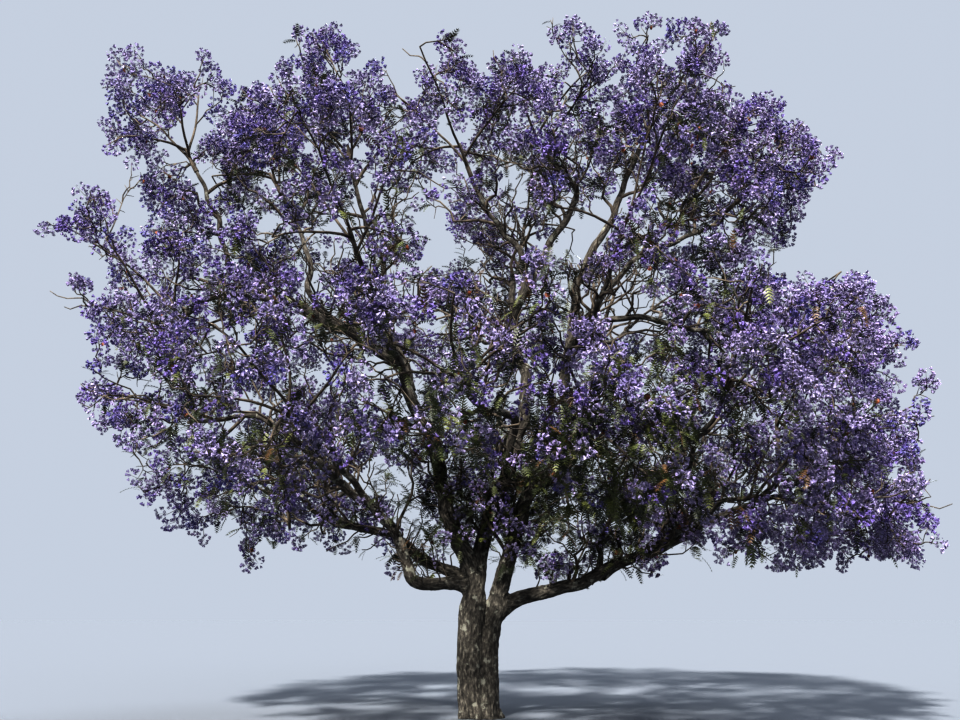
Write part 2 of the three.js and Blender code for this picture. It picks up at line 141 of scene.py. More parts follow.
# Trunk: two stems grown together from one flared foot
TRUNK_STEMS = {
    "left_stem": {
        "middles": [
            [-0.080, 0, 0], [-0.100, 0, 0.130], [-0.125, 0, 0.420],
            [-0.135, 0, 0.900], [-0.125, 0, 1.400], [-0.060, 0, 1.950],
        ],
        "radii": [0.252, 0.226, 0.214, 0.208, 0.204, 0.190],
        "flare": 0.046,
    },
    "right_stem": {
        "middles": [
            [0.085, 0, 0], [0.090, 0.005, 0.130], [0.105, 0.010, 0.420],
            [0.120, 0.015, 0.900], [0.175, 0.020, 1.300], [0.250, 0.020, 1.620],
        ],
        "radii": [0.246, 0.204, 0.176, 0.154, 0.146, 0.134],
        "flare": 0.052,
    },
}
FLARE_HEIGHT = 0.300
FLARE_LOBES = 5


# One bough and the mass on its tip. start: the stem or bough that it leaves, and at: how far
# along; mass: the middle of its mass; spread: the mass's half width; by: corners that it
# passes, or bow: how far it arches up, as a share of its length; foot: its radius there.
def bough(name, start, mass, spread, at=None, bow=None, by=None, foot=None):
    return {
        "name": name, "start": start, "mass": mass, "spread": spread,
        "at": at, "bow": bow, "by": by, "foot": foot,
    }


BOUGHS = [
    bough("low_right", "right_stem", [5.45, -0.2, 4.35], 1.75, foot=0.104,
          by=[[1.20, -0.05, 1.85], [2.32, -0.12, 2.23], [3.57, -0.16, 2.83], [4.55, -0.19, 3.44]]),
    bough("low_left", "left_stem", [-4.78, -0.4, 4.85], 1.7, foot=0.098,
          by=[[-1.03, -0.20, 1.96], [-1.16, -0.23, 2.60], [-2.39, -0.30, 3.60], [-3.43, -0.30, 4.40]]),
    bough("left_second", "left_stem", [-3.9, 0.9, 3.6], 1.6, foot=0.092,
          by=[[-0.70, 0.18, 2.20], [-1.37, 0.32, 2.65], [-2.45, 0.48, 2.92], [-3.10, 0.60, 3.65]]),
    bough("rising_left", "left_stem", [-5.45, -0.1, 6.8], 1.8, foot=0.124,
          by=[[-0.30, -0.02, 2.56], [-0.51, -0.06, 3.38], [-0.98, -0.15, 4.53],
              [-1.53, -0.20, 5.34], [-3.00, -0.20, 6.27], [-4.40, -0.08, 6.40]]),
    bough("centre", "left_stem", [1.4, 0.3, 9.95], 1.7, foot=0.118,
          by=[[0.11, 0.16, 2.65], [0.52, 0.25, 4.04], [0.62, 0.25, 5.20],
              [0.70, 0.20, 6.30], [1.60, 0.30, 8.43]]),
    bough("rising_right", "right_stem", [3.0, 0.0, 9.98], 1.7, foot=0.116,
          by=[[0.45, -0.06, 2.40], [0.70, -0.12, 3.16], [1.28, -0.15, 3.90],
              [1.57, -0.10, 6.16], [2.00, 0.0, 7.60]]),
    bough("right_low", "low_right", [5.45, -0.6, 3.12], 1.5, at=0.8, bow=0.15),
    bough("front_right_low", "low_right", [4.1, -1.9, 3.35], 1.6, at=0.58, bow=0.12),
    bough("right_inner", "low_right", [2.15, -0.5, 3.45], 1.55, at=0.26, bow=0.06),
    bough("front_right_far", "low_right", [3.4, -3.1, 4.7], 1.8, at=0.48, bow=0.02),
    bough("back_low_right", "low_right", [3.9, 3.2, 4.2], 2.0, at=0.3, bow=0.04),
    bough("front_low_left", "low_left", [-2.7, -3.0, 4.3], 1.8, at=0.42, bow=0.06),
    bough("back_low_left", "left_second", [-2.9, 3.5, 4.3], 2.0, at=0.5, bow=0.04),
    bough("top_left_centre", "rising_left", [-2.4, 0.1, 9.6], 1.75, at=0.43, bow=0),
    bough("upper_left", "rising_left", [-3.8, 0.5, 9.2], 1.6, at=0.6, bow=0),
    bough("top_left", "rising_left", [-5.2, 0.0, 9.4], 1.55, at=0.8, bow=-0.05),
    bough("front_upper_left", "rising_left", [-2.0, -2.6, 7.05], 2.0, at=0.38, bow=-0.05),
    bough("back_left", "rising_left", [-3.6, 3.1, 7.2], 2.0, at=0.53, bow=0),
    bough("top_centre", "centre", [-0.55, -0.4, 9.45], 1.9, at=0.62, bow=0.03),
    bough("back_top", "centre", [0.9, 2.9, 9.2], 1.95, at=0.55, bow=0.02),
    bough("back", "centre", [-0.3, 4.5, 7.3], 2.0, at=0.45, bow=0.02),
    bough("back_low", "centre", [0.3, 4.7, 4.4], 2.0, at=0.28, bow=0.06),
    bough("front_centre", "centre", [-0.3, -3.9, 4.4], 1.7, at=0.22, bow=0.05),
    bough("right_shoulder", "rising_right", [4.6, -0.3, 8.3], 1.35, at=0.55,
          by=[[2.53, -0.12, 7.02], [3.80, -0.15, 7.65]]),
    bough("upper_right", "right_shoulder", [4.1, 0.6, 9.2], 1.5, at=0.6, bow=0),
    bough("right_upper", "rising_right", [5.35, 0.2, 5.9], 1.75, at=0.5, bow=0.1),
    bough("front_upper_right", "rising_right", [2.15, -2.6, 7.0], 1.95, at=0.44, bow=-0.03),
    bough("back_right", "rising_right", [3.3, 3.3, 7.2], 2.0, at=0.47, bow=0),
    bough("front_right", "rising_right", [1.5, -3.4, 3.85], 1.6, at=0.28, bow=0.05),
]

# Places in the picture: pixels across and down the photograph, and their half width
PICTURE_MIDDLE = [480, 360]
PICTURE_FOCUS = 970
CAMERA_TILT = 14.73
# Just beyond the crown's edge, kept free of finer growth
EDGE_PLACES = [
    {"across": 490, "down": 10, "size": 38},
    {"across": 440, "down": -12, "size": 30},
    {"across": 402, "down": 45, "size": 25},
    {"across": 175, "down": 42, "size": 24},
    {"across": 245, "down": 50, "size": 30},
    {"across": 80, "down": 50, "size": 24},
    {"across": 66, "down": 150, "size": 30},
    {"across": 32, "down": 300, "size": 36},
    {"across": 42, "down": 345, "size": 46},
    {"across": 48, "down": 430, "size": 40},
    {"across": 765, "down": 52, "size": 37},
    {"across": 838, "down": 118, "size": 25},
    {"across": 978, "down": 450, "size": 48},
    {"across": 872, "down": 168, "size": 32},
    {"across": 712, "down": -10, "size": 26},
    {"across": 50, "down": 194, "size": 22},
    {"across": 411, "down": 10, "size": 15},
    {"across": 308, "down": 2, "size": 22},
    {"across": 893, "down": 248, "size": 26},
    {"across": 975, "down": 520, "size": 30},
]
# Thinner places, where more sky and branches show than blossom, and what share blossoms there
THIN_PLACES = [
    {"across": 450, "down": 245, "size": 30, "share": 0.6},
    {"across": 579, "down": 220, "size": 41, "share": 0.35},
    {"across": 637, "down": 309, "size": 43, "share": 0.35},
    {"across": 538, "down": 288, "size": 46, "share": 0.5},
    {"across": 501, "down": 192, "size": 41, "share": 0.5},
    {"across": 207, "down": 176, "size": 25, "share": 0.5},
    {"across": 710, "down": 440, "size": 71, "share": 0.5},
    {"across": 666, "down": 214, "size": 41, "share": 0.55},
    {"across": 295, "down": 312, "size": 23, "share": 0.3},
    {"across": 337, "down": 333, "size": 23, "share": 0.3},
    {"across": 380, "down": 363, "size": 24, "share": 0.3},
    {"across": 413, "down": 409, "size": 24, "share": 0.3},
    {"across": 270, "down": 275, "size": 80, "share": 0.65},
    {"across": 190, "down": 370, "size": 70, "share": 0.65},
    {"across": 230, "down": 455, "size": 60, "share": 0.65},
    {"across": 340, "down": 205, "size": 60, "share": 0.7},
]
# Leafier places
LEAFY_PLACES = [
    {"across": 705, "down": 365, "size": 62},
    {"across": 660, "down": 500, "size": 60},
    {"across": 560, "down": 470, "size": 60},
    {"across": 215, "down": 190, "size": 50},
]

# Bark relief
LIMB_SIDES = 16
SLIM_SIDES = 12
SLIM_RADIUS = 0.06
LIMB_RING_STEP = 0.055
LEAST_RINGS = 8
LIMB_THICKER = 0.12
COLLAR = 0.32
COLLAR_WIDTH = 1.6
RISE_AT = [0.55, 0.78]
RISE_SHARES = [0.80, 1.02]
KINK_PITCH = 3.0
KINK_SHIFTS = ((0.0, 0.0, 0.0), (31.4, 17.2, 5.9), (11.8, 43.5, 27.1))
KINKS_FROM = [0.8, 1.3]
KINKLESS_TIP = [0, 0.1]
LEAST_RELIEF = 0.004
LIMB_RELIEF = 0.07
FISSURE_STRETCH = 3.0
FISSURE_SIZE = 0.055
FINE_PITCH = 2.7
LUMP_PITCH = 4.3
LUMP_SQUEEZE = 0.8
RIDGE_SHARE = 0.55
FINE_SHARE = 0.3
LUMP_SHARE = 0.9
BARK_LEVEL = 0.35
TRUNK_VOXEL = 0.015
TRUNK_REACH = 0.90
TRUNK_RELIEF = 0.019
FLAT_FOOT = 0.03
RELIEF_HEIGHTS = [1.6, 2.6]
RELIEF_SHARES = [1.0, 0.75]
TRUNK_SIDES = 40
STEM_RINGS = 60
STEM_ROUND_FROM = [0, 0.08, 0.35]
STEM_ROUND_SHARES = [0.35, 0.72, 0.985]
STUB_SIDES = 24
STUB_RINGS = 14
STUB_BEND = 0.42
STUB_AT = [-STUB_BEND, 0, 0.3, 0.72, TRUNK_REACH]
STUB_SHARES = [0.9, 1.16, 1.04, 1.0, 0.72]
STUB_FROM = 0.25
# How finely the trunk's lines are sampled, and how far each one's bark pattern is moved along it
STEM_SAMPLES = 40
STUB_SAMPLES = 16
STEM_SHIFT = 11.0
LIMB_SHIFT = 3.7

# Bent lines: how far they keep the ways that they leave and arrive, and how often they sway
LEAVE_REACH = 0.33
ARRIVE_REACH = 0.30
SWAY_SPEEDS = [5, 11]
# Kinds of shoot. leave: how far it turns outwards, onwards and upwards from its line; lift: how
# much it turns up towards its end; line: its rings and its crook.
SHOOT = {"leave": [0.9, 0.55, 0.35], "lift": 0.4, "line": [8, 0.085]}
HEART_SHOOT = {"leave": [0.9, 0.4, 0.45], "lift": 0.3, "line": [6, 0.06]}
BRANCHLET = {"leave": [0.8, 0.7, 0.3], "lift": 0.4, "line": [6, 0.075]}
END_BRANCHLET = {"leave": [0.3, 0.7, 0.3], "lift": 0.4, "line": [6, 0.075]}
STEM_LINE = [5, 0.01]
TWIG_LINE = [8, 0.012]
HEAD_LINE = [6, 0.05]
FINE_LINE = [3, 0.045]
# Turns about a line, from one shoot to the next
GOLDEN_TURN = 2.39996
BRANCHLET_TURN = 1.3
FINE_TURN = 1.7
ANY_TURN = [0, 6.3]

# Finer growth
FINE_SEED = 5000
STEM_SUNK = 0.03
HEAD_LIFTS = [0.5, 0.35]
STEM_SIDES = 8
TWIG_SIDES = 5
FINE_SIDES = 3
# The radii at the two ends of each kind of wood
STEM_VISIBLE = [0.040, 0.024]
TWIG_VISIBLE = [0.024, 0.012]
SHOOT_VISIBLE = [0.032, 0.012]
BARE_VISIBLE = [0.024, 0.008]
BRANCHLET_VISIBLE = [0.014, 0.007]
FINE_VISIBLE = [0.0070, 0.0040]
SHOOT_STEP = 0.45
SHOOT_LENGTHS = [0.60, 1.45]
SHOOT_FIRST = {"primary": 0.75, "side": 0.45}
SHOOT_LAST = 0.2
SHOOT_STRETCH = 0.1
SHOOT_SHIFTS = [-0.12, 0.12]
SHOOT_FLOOR = 2.25
SHOOT_MARGIN = 0.35
SHOOT_CLEARANCE = 0.15
GAP_MARGIN = 0.1
BARE_STEP = 0.26
BARE_LENGTHS = [0.50, 1.30]
BARE_DEEPEST = 0.66
HEART_REACH = [0.42, 2.30]
HEART_STEP = 0.06
HEART_LENGTHS = [0.26, 0.80]
HEART_FLOOR = 2.02
HEART_CLEARANCE = 0.06
HEART_MIDDLE = [0.7, 3.0]
HEART_HALF = [2.0, 1.2]
CROWN_SLACK = 1.04
BRANCHLET_SHARES = [0.45, 0.72, 0.96]
BRANCHLET_LENGTHS = [0.35, 0.75]
OUTER_DEPTH = 0.68
OUTER_LENGTHS = [0.30, 0.55]
FINE_SHARES = [0.55, 0.68, 0.79, 0.89, 0.97]
FINE_LENGTHS = [0.22, 0.42]
FINE_LEAVE = [0.9, 0.65, 0.3]
FINE_LIFTS = [0.1, 0.5]
FINE_SPACING = 0.136
FINE_MARGIN = 0.12
FINE_CLEARANCE = 0.10
FINE_GAP_MARGIN = 0.05
TIP_MARGIN = FINE_MARGIN - 0.04
# Ovals near the boughs, beside the masses, that side shoots may fill too: middle and half width
INNER_OVALS = [
    {"middle": [-0.7, 0.2, 7.6], "spread": 1.5},
    {"middle": [-1.9, -0.3, 4.6], "spread": 1.3},
    {"middle": [1.2, -0.3, 3.2], "spread": 1.3},
    {"middle": [0.0, -0.3, 3.4], "spread": 1.1},
    {"middle": [-5.7, 0.0, 6.2], "spread": 1.0},
    {"middle": [0.9, -0.4, 2.9], "spread": 1.5},
    {"middle": [-5.6, 0.0, 7.9], "spread": 0.9},
]
# The whole crown, as an oval. Blossom is sparser towards its middle.
CROWN_MIDDLE = np.array([0.1, 0.3, 5.6])
CROWN_HALF = np.array([6.9, 6.0, 5.4])
BARE_DEPTH = 0.30
LEAST_BLOSSOM = 0.15
BLOSSOM_GAIN = 2.2
HEART_LOSS = 0.7
BLOSSOMING_SEED = 41
# Clumps of blossom about half a metre across, with leafy gaps between them that close outwards
CLUMP_PITCH = 1.75
CLUMP_RANGE = [-0.06, 0.06]
CLUMP_LEAST = 0.10
CLUMP_CLOSING = 0.55
CLOSING_DEPTH = 0.75

# Panicles: how their blossoms crowd, spiral, spread, droop and end in buds, and their stalks
BLOSSOM_SEED = 77
BLOSSOMS = 17
BLOSSOM_SIZES = [0.056, 0.073]
BLOSSOM_MARGIN = 0.05
PANICLE_LENGTHS = [0.17, 0.28]
PANICLE_WIDTHS = [0.075, 0.115]
PANICLE_MOST = 0.62
AXIS_SHARE = 0.92
CROWDING = 0.85
SPIRAL_TURN = 2.4
TURN_SPREAD = 0.3
BLUNTNESS = 1.05
OUT_SHARES = [0.3, 1.0]
DROOP = [0.1, 0.9]
ONWARD = 0.25
WAY_SPREAD = 0.25
BUD_FROM = 0.82
TIP_BUDS = 0.5
LOWER_BUDS = 0.06
PETALS = 5
# Each corner of a petal: its turn about the bell, how far out it is and how far along
PETAL_CORNERS = [[0.0, 0.05, 0.0], [-0.50, 0.43, 0.74], [0.56, 0.45, 0.80]]
BUD_WAIST = [0.13, 0.13, 0.42]
BUD_TIP = [0.0, 0.0, 0.62]
SPIKE_CORNERS = [[0.02, -0.01, 0.0], [-0.02, -0.01, 0.0], [0.0, 0.02, 0.0], [0.0, 0.0, 0.9]]
STALK_EVERY = 5
STALK_DROP = 0.03
STALK_HALF = 0.003
# Painted light in the blossom tones: how much likelier the lighter tones are near the ground, falling
# off upwards, and how far the weight for the right reaches
LIT_AT_GROUND = 1.75
LIT_FALL = 0.14
LIT_RANGE = [0.75, 1.4]
RIGHT_REACH = 5

# Leaves, and the parts of their chance
LEAF_SEED = 91
LEAF_CHANCE = {"least": 0.12, "low": 0.14, "heart": 0.8, "bare": 0.46, "leafy": 0.35, "rim": 0.12}
LEAFLESS_RIM = [0.76, 0.92]
LOW_CROWN = 6.5
LOW_STRETCH = 4
# A leaf, as shares of its length
RIB_BLADES = [[0.0, 0.55, 0.010], [0.5, 1.0, 0.008]]
RIB_RISE = 0.10
RIB_ARCH = 2.2
RIB_DROOP = 0.12
LEAFLET_PAIRS = 6
LEAFLET_PLACES = [0.16, 0.92]
LEAFLET_WIDTH = 0.050
LEAFLET_REACH = 0.25
LEAFLET_ARCH = [0.6, 2.1]
LEAFLET_SLANT = 0.7
LEAFLET_FALL = 0.04
END_LEAFLET = [0.12, 0.0, -0.02]
END_WIDTH = 0.030
# How whorls of leaves are set out
WHORL = [2, 4]
HEART_WHORL = 3
WHORL_DROP = [0.0, 0.14]
LEAF_ONWARD = 0.35
LEAF_DROOP = 0.15
LEAF_SPREAD = 0.15
LEAF_SIZES = [0.16, 0.28]
LEAF_ROOM = 1.2
LEAF_MARGIN = 0.03

# Pods
POD_SEED = 23
PODS = 300
POD_SIZES = [0.055, 0.085]
POD_SIDES = 8
POD_WAVE = 0.06
POD_BULGE = 0.11
POD_SPREAD = 0.35
POD_ROOM = 0.1
POD_MARGIN = 0.03

# Looks
GRAIN_SQUEEZE = (1, 1, 0.38)
LICHEN = (0.20, 0.20, 0.17)
LICHEN_COVER = (0.85, 0.85, 0.85)
LICHEN_FROM = 0.58
LICHEN_EDGE = 0.06
FLOOR_SIZE = 400
FLOOR_PLACE = (0, 60, -0.002)
FLOOR_COLOUR = (0.1197, 0.1297, 0.1456, 1)
SKY_COLOUR = (0.82, 0.88, 0.98, 1)


def unit(vectors):
    vectors = np.asarray(vectors, float)
    lengths = np.linalg.norm(vectors, axis=-1, keepdims=True)
    return vectors / np.maximum(lengths, SHORTEST)


def each(measure, values):
    return np.array([measure(value) for value in values])


def chunks(points):
    starts = range(0, max(1, len(points)), CHUNK)
    return [points[start:start + CHUNK] for start in starts]


def squared_gaps(points, others):
    return ((points[:, None] - others[None]) ** 2).sum(2)


def seeded_random(seed):
    state = 7919 * (seed + 11)

    def draw():
        nonlocal state
        state = state * 48271 % 2147483647
        return state / 2147483647

    return draw


class Route:
    """A centripetal Catmull-Rom curve through corners, with places by their share of its length."""

    def __init__(self, corners):
        self.corners = np.array(corners, float)
        steps = np.linspace(0, 1, LENGTH_STEPS + 1)
        places = np.array([self.at(step) for step in steps])
        gaps = np.linalg.norm(np.diff(places, axis=0), axis=1)
        self.steps = steps
        self.lengths = np.concatenate([[0.0], np.cumsum(gaps)])
        self.length = self.lengths[-1]

    def at(self, share):
        corners = self.corners
        last = len(corners) - 1
        place = last * share
        index = min(int(place), last - 1)
        weight = place - index
        one = corners[index]
        two = corners[index + 1]
        before = corners[index - 1] if index > 0 else 2 * corners[0] - corners[1]
        after = corners[index + 2] if index + 2 <= last else 2 * corners[-1] - corners[-2]
        first = np.linalg.norm(one - before) ** 0.5
        middle = np.linalg.norm(two - one) ** 0.5
        third = np.linalg.norm(after - two) ** 0.5
        leave = (one - before) / first - (two - before) / (first + middle) + (two - one) / middle
        arrive = (two - one) / middle - (after - one) / (middle + third) + (after - two) / third
        leave = leave * middle
        arrive = arrive * middle
        square = -3 * one + 3 * two - 2 * leave - arrive
        cube = 2 * one - 2 * two + leave + arrive
        return one + leave * weight + square * weight ** 2 + cube * weight ** 3

    def at_length_share(self, share):
        return self.at(float(np.interp(share * self.length, self.lengths, self.steps)))


class Limb:
    """A bough: its swaying middle line, its radius along it, and the space of its mass."""

    def __init__(self, row, order, limbs):
        self.name = row["name"]
        self.order = order
        self.start = row["start"]
        self.parent = limbs.get(self.start)
        self.spread = row["spread"]
        self.middle = np.array(row["mass"], float)
        if self.parent:
            foot = self.parent.point_at(row["at"])
        else:
            foot = np.array(TRUNK_STEMS[self.start]["middles"][-1], float)
        outward = unit(self.middle - foot)
        tip = self.middle - outward * self.spread * TIP_INSIDE
        self.outward = unit(self.middle - CROWN_HEART)
        if row["by"]:
            corners = [foot, *row["by"], tip]
        else:
            corners = side_corners(foot, self.parent.direction_at(row["at"]), tip, row["bow"])
        self.route = Route(corners)
        self.length = self.route.length
        draw = seeded_random(order)
        self.phases = [draw() * 2 * math.pi for _ in range(4)]
        self.foot_radius = row["foot"] or self.parent.radius_at(row["at"]) * SIDE_SHARE
        self.tip_radius = max(THINNEST_TIP, self.foot_radius * TIP_TO_FOOT)

    def sway(self, share, first, second):
        waves = share * CROOK_WAVES
        return math.sin(waves * 2 + first) + 0.6 * math.sin(waves * 5 + second)

    def point_at(self, share):
        size = CROOK * self.length * math.sin(math.pi * share)
        point = self.route.at_length_share(min(1.0, share))
        point[0] += size * self.sway(share, self.phases[0], self.phases[1])
        point[1] += size * self.sway(share, self.phases[2], self.phases[3])
        return point

    def direction_at(self, share):
        before = self.point_at(max(0.0, share - DIRECTION_STEP))
        after = self.point_at(min(1.0, share + DIRECTION_STEP))
        return unit(after - before)

    def radius_at(self, share):
        return self.foot_radius + (self.tip_radius - self.foot_radius) * share ** THINNING


def side_corners(foot, parent_direction, tip, bow):
    span = tip - foot
    length = np.linalg.norm(span)
    leave = unit(unit(span) + parent_direction)
    early = foot + leave * length * LEAVE_SHARE
    late = foot + span * ARCH_SHARE + UP * length * bow
    return [foot, early, late, tip]


def grow_limbs():
    limbs = {}
    for order, row in enumerate(BOUGHS):
        limbs[row["name"]] = Limb(row, order, limbs)
    return list(limbs.values())


class Crown:
    """The spaces of all the masses, and the limbs that twigs keep clear of."""

    def __init__(self, limbs):
        self.balls = np.array([limb.middle / STRETCH for limb in limbs])
        self.spreads = np.array([limb.spread for limb in limbs])
        points = []
        radii = []
        for limb in limbs:
            steps = math.ceil(limb.length / LIMB_SAMPLE_STEP)
            shares = [step / steps for step in range(steps + 1)]
            points += [limb.point_at(share) for share in shares]
            radii += [limb.radius_at(share) + LIMB_SAMPLE_EXTRA for share in shares]
        self.points = np.array(points)
        self.radii = np.array(radii)

    def holds(self, points):
        """Which points lie in the oval of some mass, or in one of the inner ovals."""
        middles = np.array([oval["middle"] for oval in INNER_OVALS]) / STRETCH
        balls = np.concatenate([self.balls, middles])
        spreads = np.concatenate([self.spreads, [oval["spread"] for oval in INNER_OVALS]])
        away = np.sqrt(squared_gaps(points / STRETCH, balls)) / spreads
        return away.min(1) < CROWN_SLACK

    def clearance(self, points):
        """How far points lie from the surface of the nearest limb."""
        gaps = []
        for some in chunks(points):
            away = np.sqrt(squared_gaps(some, self.points)) - self.radii
            gaps.append(away.min(1))
        return np.concatenate(gaps)

    def near(self, limb):
        """The limb samples close enough to a mass to matter to it."""
        close = np.linalg.norm(self.points - limb.middle, axis=1) < limb.spread * DEEP + NEAR_REACH
        return self.points[close], self.radii[close]

    def in_space(self, limb, points, margin):
        """Which points lie in a mass's own space: its oval, and nearer to it than to any other."""
        points = np.atleast_2d(points)
        places = points / STRETCH
        own = self.balls[limb.order]
        to_own = ((places - own) ** 2).sum(1)
        to_all = squared_gaps(places, self.balls)
        apart = np.linalg.norm(self.balls - own, axis=1)
        apart[limb.order] = 1.0
        excess = to_all - self.spreads ** 2 - to_own[:, None] + limb.spread ** 2
        clear = excess / (2 * apart)
        clear[:, limb.order] = np.inf
        inside = (np.sqrt(to_own) <= limb.spread) & (points[:, 2] >= CROWN_FLOOR)
        return inside & (clear >= margin + SPACE_MARGIN).all(1)


def clear_of_limbs(samples, start, end, radius):
    points, radii = samples
    way = end - start
    shares = np.clip((points - start) @ way / (way @ way), 0, 1)
    gaps = np.linalg.norm(points - start - shares[:, None] * way, axis=1)
    return bool((gaps > radii + radius + LIMB_MARGIN).all())


def in_sky_gap(points, margin=0.0):
    offsets = np.atleast_2d(points) - VIEWPOINT
    inside = np.zeros(len(offsets), bool)
    for gap in SKY_GAPS:
        sight = unit(np.array([gap["right"], 0.0, gap["height"]]) - VIEWPOINT)
        along = offsets @ sight
        inside |= np.linalg.norm(offsets - along[:, None] * sight, axis=1) < gap["size"] + margin
    return inside


def seen_in(points, place):
    """Which points lie in a place in the picture."""
    ways = unit(points - VIEWPOINT)
    tilt = math.radians(CAMERA_TILT)
    across = (place["across"] - PICTURE_MIDDLE[0]) / PICTURE_FOCUS
    up = (PICTURE_MIDDLE[1] - place["down"]) / PICTURE_FOCUS
    ahead = math.cos(tilt) - up * math.sin(tilt)
    sight = unit([across, ahead, math.sin(tilt) + up * math.cos(tilt)])
    return np.arccos(np.clip(ways @ sight, -1, 1)) < place["size"] / PICTURE_FOCUS


def beyond_edge(points):
    """Which points lie just beyond the crown's edge in the picture."""
    return np.any([seen_in(points, place) for place in EDGE_PLACES], axis=0)


def place_in_mass(limb, draw, reach):
    inner, outer = reach
    height = 2 * draw() - 1
    turn = 2 * math.pi * draw()
    away = (inner ** 3 + (outer ** 3 - inner ** 3) * draw()) ** (1 / 3) * limb.spread
    level = math.sqrt(1 - height * height) * away
    step = np.array([math.cos(turn) * level, math.sin(turn) * level * DEEP, height * away * FLAT])
    if step @ limb.outward < -INWARD_REACH * limb.spread:
        step = -step
    return step + limb.middle


def most_open(taken, draw_one):
    best = None
    best_gap = -1.0
    places = np.array(taken) if taken else None
    for _ in range(TRIES):
        found = draw_one()
        if found is None:
            continue
        gap = math.inf if places is None else np.linalg.norm(places - found["tip"], axis=1).min()
        if gap > best_gap:
            best = found
            best_gap = gap
    return best


def grow_twigs(limb, crown, samples, draw):
    direction = limb.direction_at(1.0)
    foot = limb.point_at(1.0) + direction * CLEAR
    head = foot + direction * limb.spread * STEM_SHARE
    twigs = []
    ends = []

    def draw_twig():
        tip = place_in_mass(limb, draw, TWIG_REACH)
        along = TWIG_STARTS[0] + (TWIG_STARTS[1] - TWIG_STARTS[0]) * len(twigs) / (TWIGS - 1)
        start = foot + (head - foot) * along
        way = tip - start
        length = np.linalg.norm(way)
        bend = TWIG_BEND * length
        sideways = unit(np.cross(way, UP)) * (draw() - 0.5) * 2 * bend
        elbow = start + way * 0.5 + sideways + UP * bend
        fits = (
            length > SHORTEST_TWIG
            and crown.in_space(limb, [tip, elbow], TWIG_RADII[0]).all()
            and clear_of_limbs(samples, start, elbow, TWIG_RADII[0])
            and clear_of_limbs(samples, elbow, tip, TWIG_RADII[0])
        )
        return {"tip": tip, "points": np.array([start, elbow, tip])} if fits else None

    for _ in range(MOST_TRIES):
        if len(twigs) == TWIGS:
            break
        twig = most_open([head, *ends], draw_twig)
        if twig:
            twigs.append(twig)
            ends.append(twig["tip"])
    return foot, head, twigs


def root_places(twigs):
    places = []
    for twig in twigs:
        start, elbow, end = twig["points"]
        places += [start + (elbow - start) * share for share in LOWER_ROOTS]
        places += [elbow + (end - elbow) * share for share in UPPER_ROOTS]
    return places


def spray_corners(root, tip, turn):
    axis = tip - root
    length = np.linalg.norm(axis)
    across = unit(np.cross(axis, UP))
    over = unit(np.cross(axis, across))
    shoulder = root + axis * SPRAY_SHOULDER
    corners = []
    for index in range(4):
        angle = turn + index * math.pi / 2
        sideways = across * length * SPRAY_WIDTH * math.cos(angle)
        corners.append(shoulder + sideways + over * length * SPRAY_THICKNESS * math.sin(angle))
    return np.array([root, *corners, tip])


def grow_sprays(limb, crown, samples, draw, twigs):
    ends = [twig["points"][1] + (twig["tip"] - twig["points"][1]) * END_ROOT for twig in twigs]
    along = root_places(twigs)
    count = round(limb.spread * SPRAYS_PER_METRE)
    sprays = []
    places = []

    def draw_spray():
        tip = place_in_mass(limb, draw, SPRAY_REACH)
        turn = (draw() - 0.5) * SPRAY_TURN
        if not places:
            return None
        gaps = np.linalg.norm(np.array(places) - tip, axis=1)
        nearest = int(gaps.argmin())
        length = gaps[nearest]
        if length < SPRAY_LENGTHS[0] or length > SPRAY_LENGTHS[1]:
            return None
        root = places[nearest]
        points = spray_corners(root, tip, turn)
        if not crown.in_space(limb, points, 0).all():
            return None
        shoulder = root + (tip - root) * SPRAY_SHOULDER
        for spray in sprays:
            room = SPRAY_SPACING * (spray["length"] + length) / 2
            if np.linalg.norm(spray["shoulder"] - shoulder) <= room:
                return None
        core_start = shoulder + (root - shoulder) * CORE_TOWARDS_ROOT
        core_end = shoulder + (tip - shoulder) * CORE_TOWARDS_TIP
        fits = (
            clear_of_limbs(samples, core_start, core_end, length * SPRAY_WIDTH * CORE_WIDTH)
            and clear_of_limbs(samples, root, tip, TWIG_RADII[0])
            and not in_sky_gap([*points[1:], shoulder]).any()
        )
        if not fits:
            return None
        return {"tip": tip, "root": root, "shoulder": shoulder, "length": length, "place": nearest}

    def place(tries, wanted):
        for _ in range(tries):
            if len(sprays) >= wanted:
                break
            spray = most_open([one["tip"] for one in sprays], draw_spray)
            if spray:
                sprays.append(spray)
                places.pop(spray["place"])

    for end in ends:
        places[:] = [end]
        place(END_TRIES, len(sprays) + 1)
    places[:] = along
    place(MOST_TRIES, count)
    return sprays


# Meshes from arrays

def make_mesh(name, points, triangles, smooth):
    mesh = bpy.data.meshes.new(name)
    mesh.vertices.add(len(points))
    mesh.vertices.foreach_set("co", np.asarray(points, np.float32).ravel())
    mesh.loops.add(len(triangles) * 3)
    mesh.loops.foreach_set("vertex_index", np.asarray(triangles, np.int32).ravel())
    mesh.polygons.add(len(triangles))
    mesh.polygons.foreach_set("loop_start", np.arange(0, len(triangles) * 3, 3, dtype=np.int32))
    mesh.polygons.foreach_set("use_smooth", np.full(len(triangles), smooth))
    mesh.update(calc_edges=True)
    piece = bpy.data.objects.new(name, mesh)
    bpy.context.scene.collection.objects.link(piece)
    return piece


def wear(piece, material, nodes=()):
    piece.data.materials.clear()
    piece.data.materials.append(material)
    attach(piece, "root")
    if nodes:
        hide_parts(*nodes)


def join(parts):
    """One array of points and one of triangles out of several pairs."""
    points = []
    triangles = []
    count = 0
    for some_points, some_triangles in parts:
        points.append(some_points)
        triangles.append(some_triangles + count)
        count += len(some_points)
    return np.concatenate(points), np.concatenate(triangles)


def add_piece(name, parts, smooth, material, nodes=()):
    piece = make_mesh(name, *join(parts), smooth)
    wear(piece, material, nodes)
    return piece


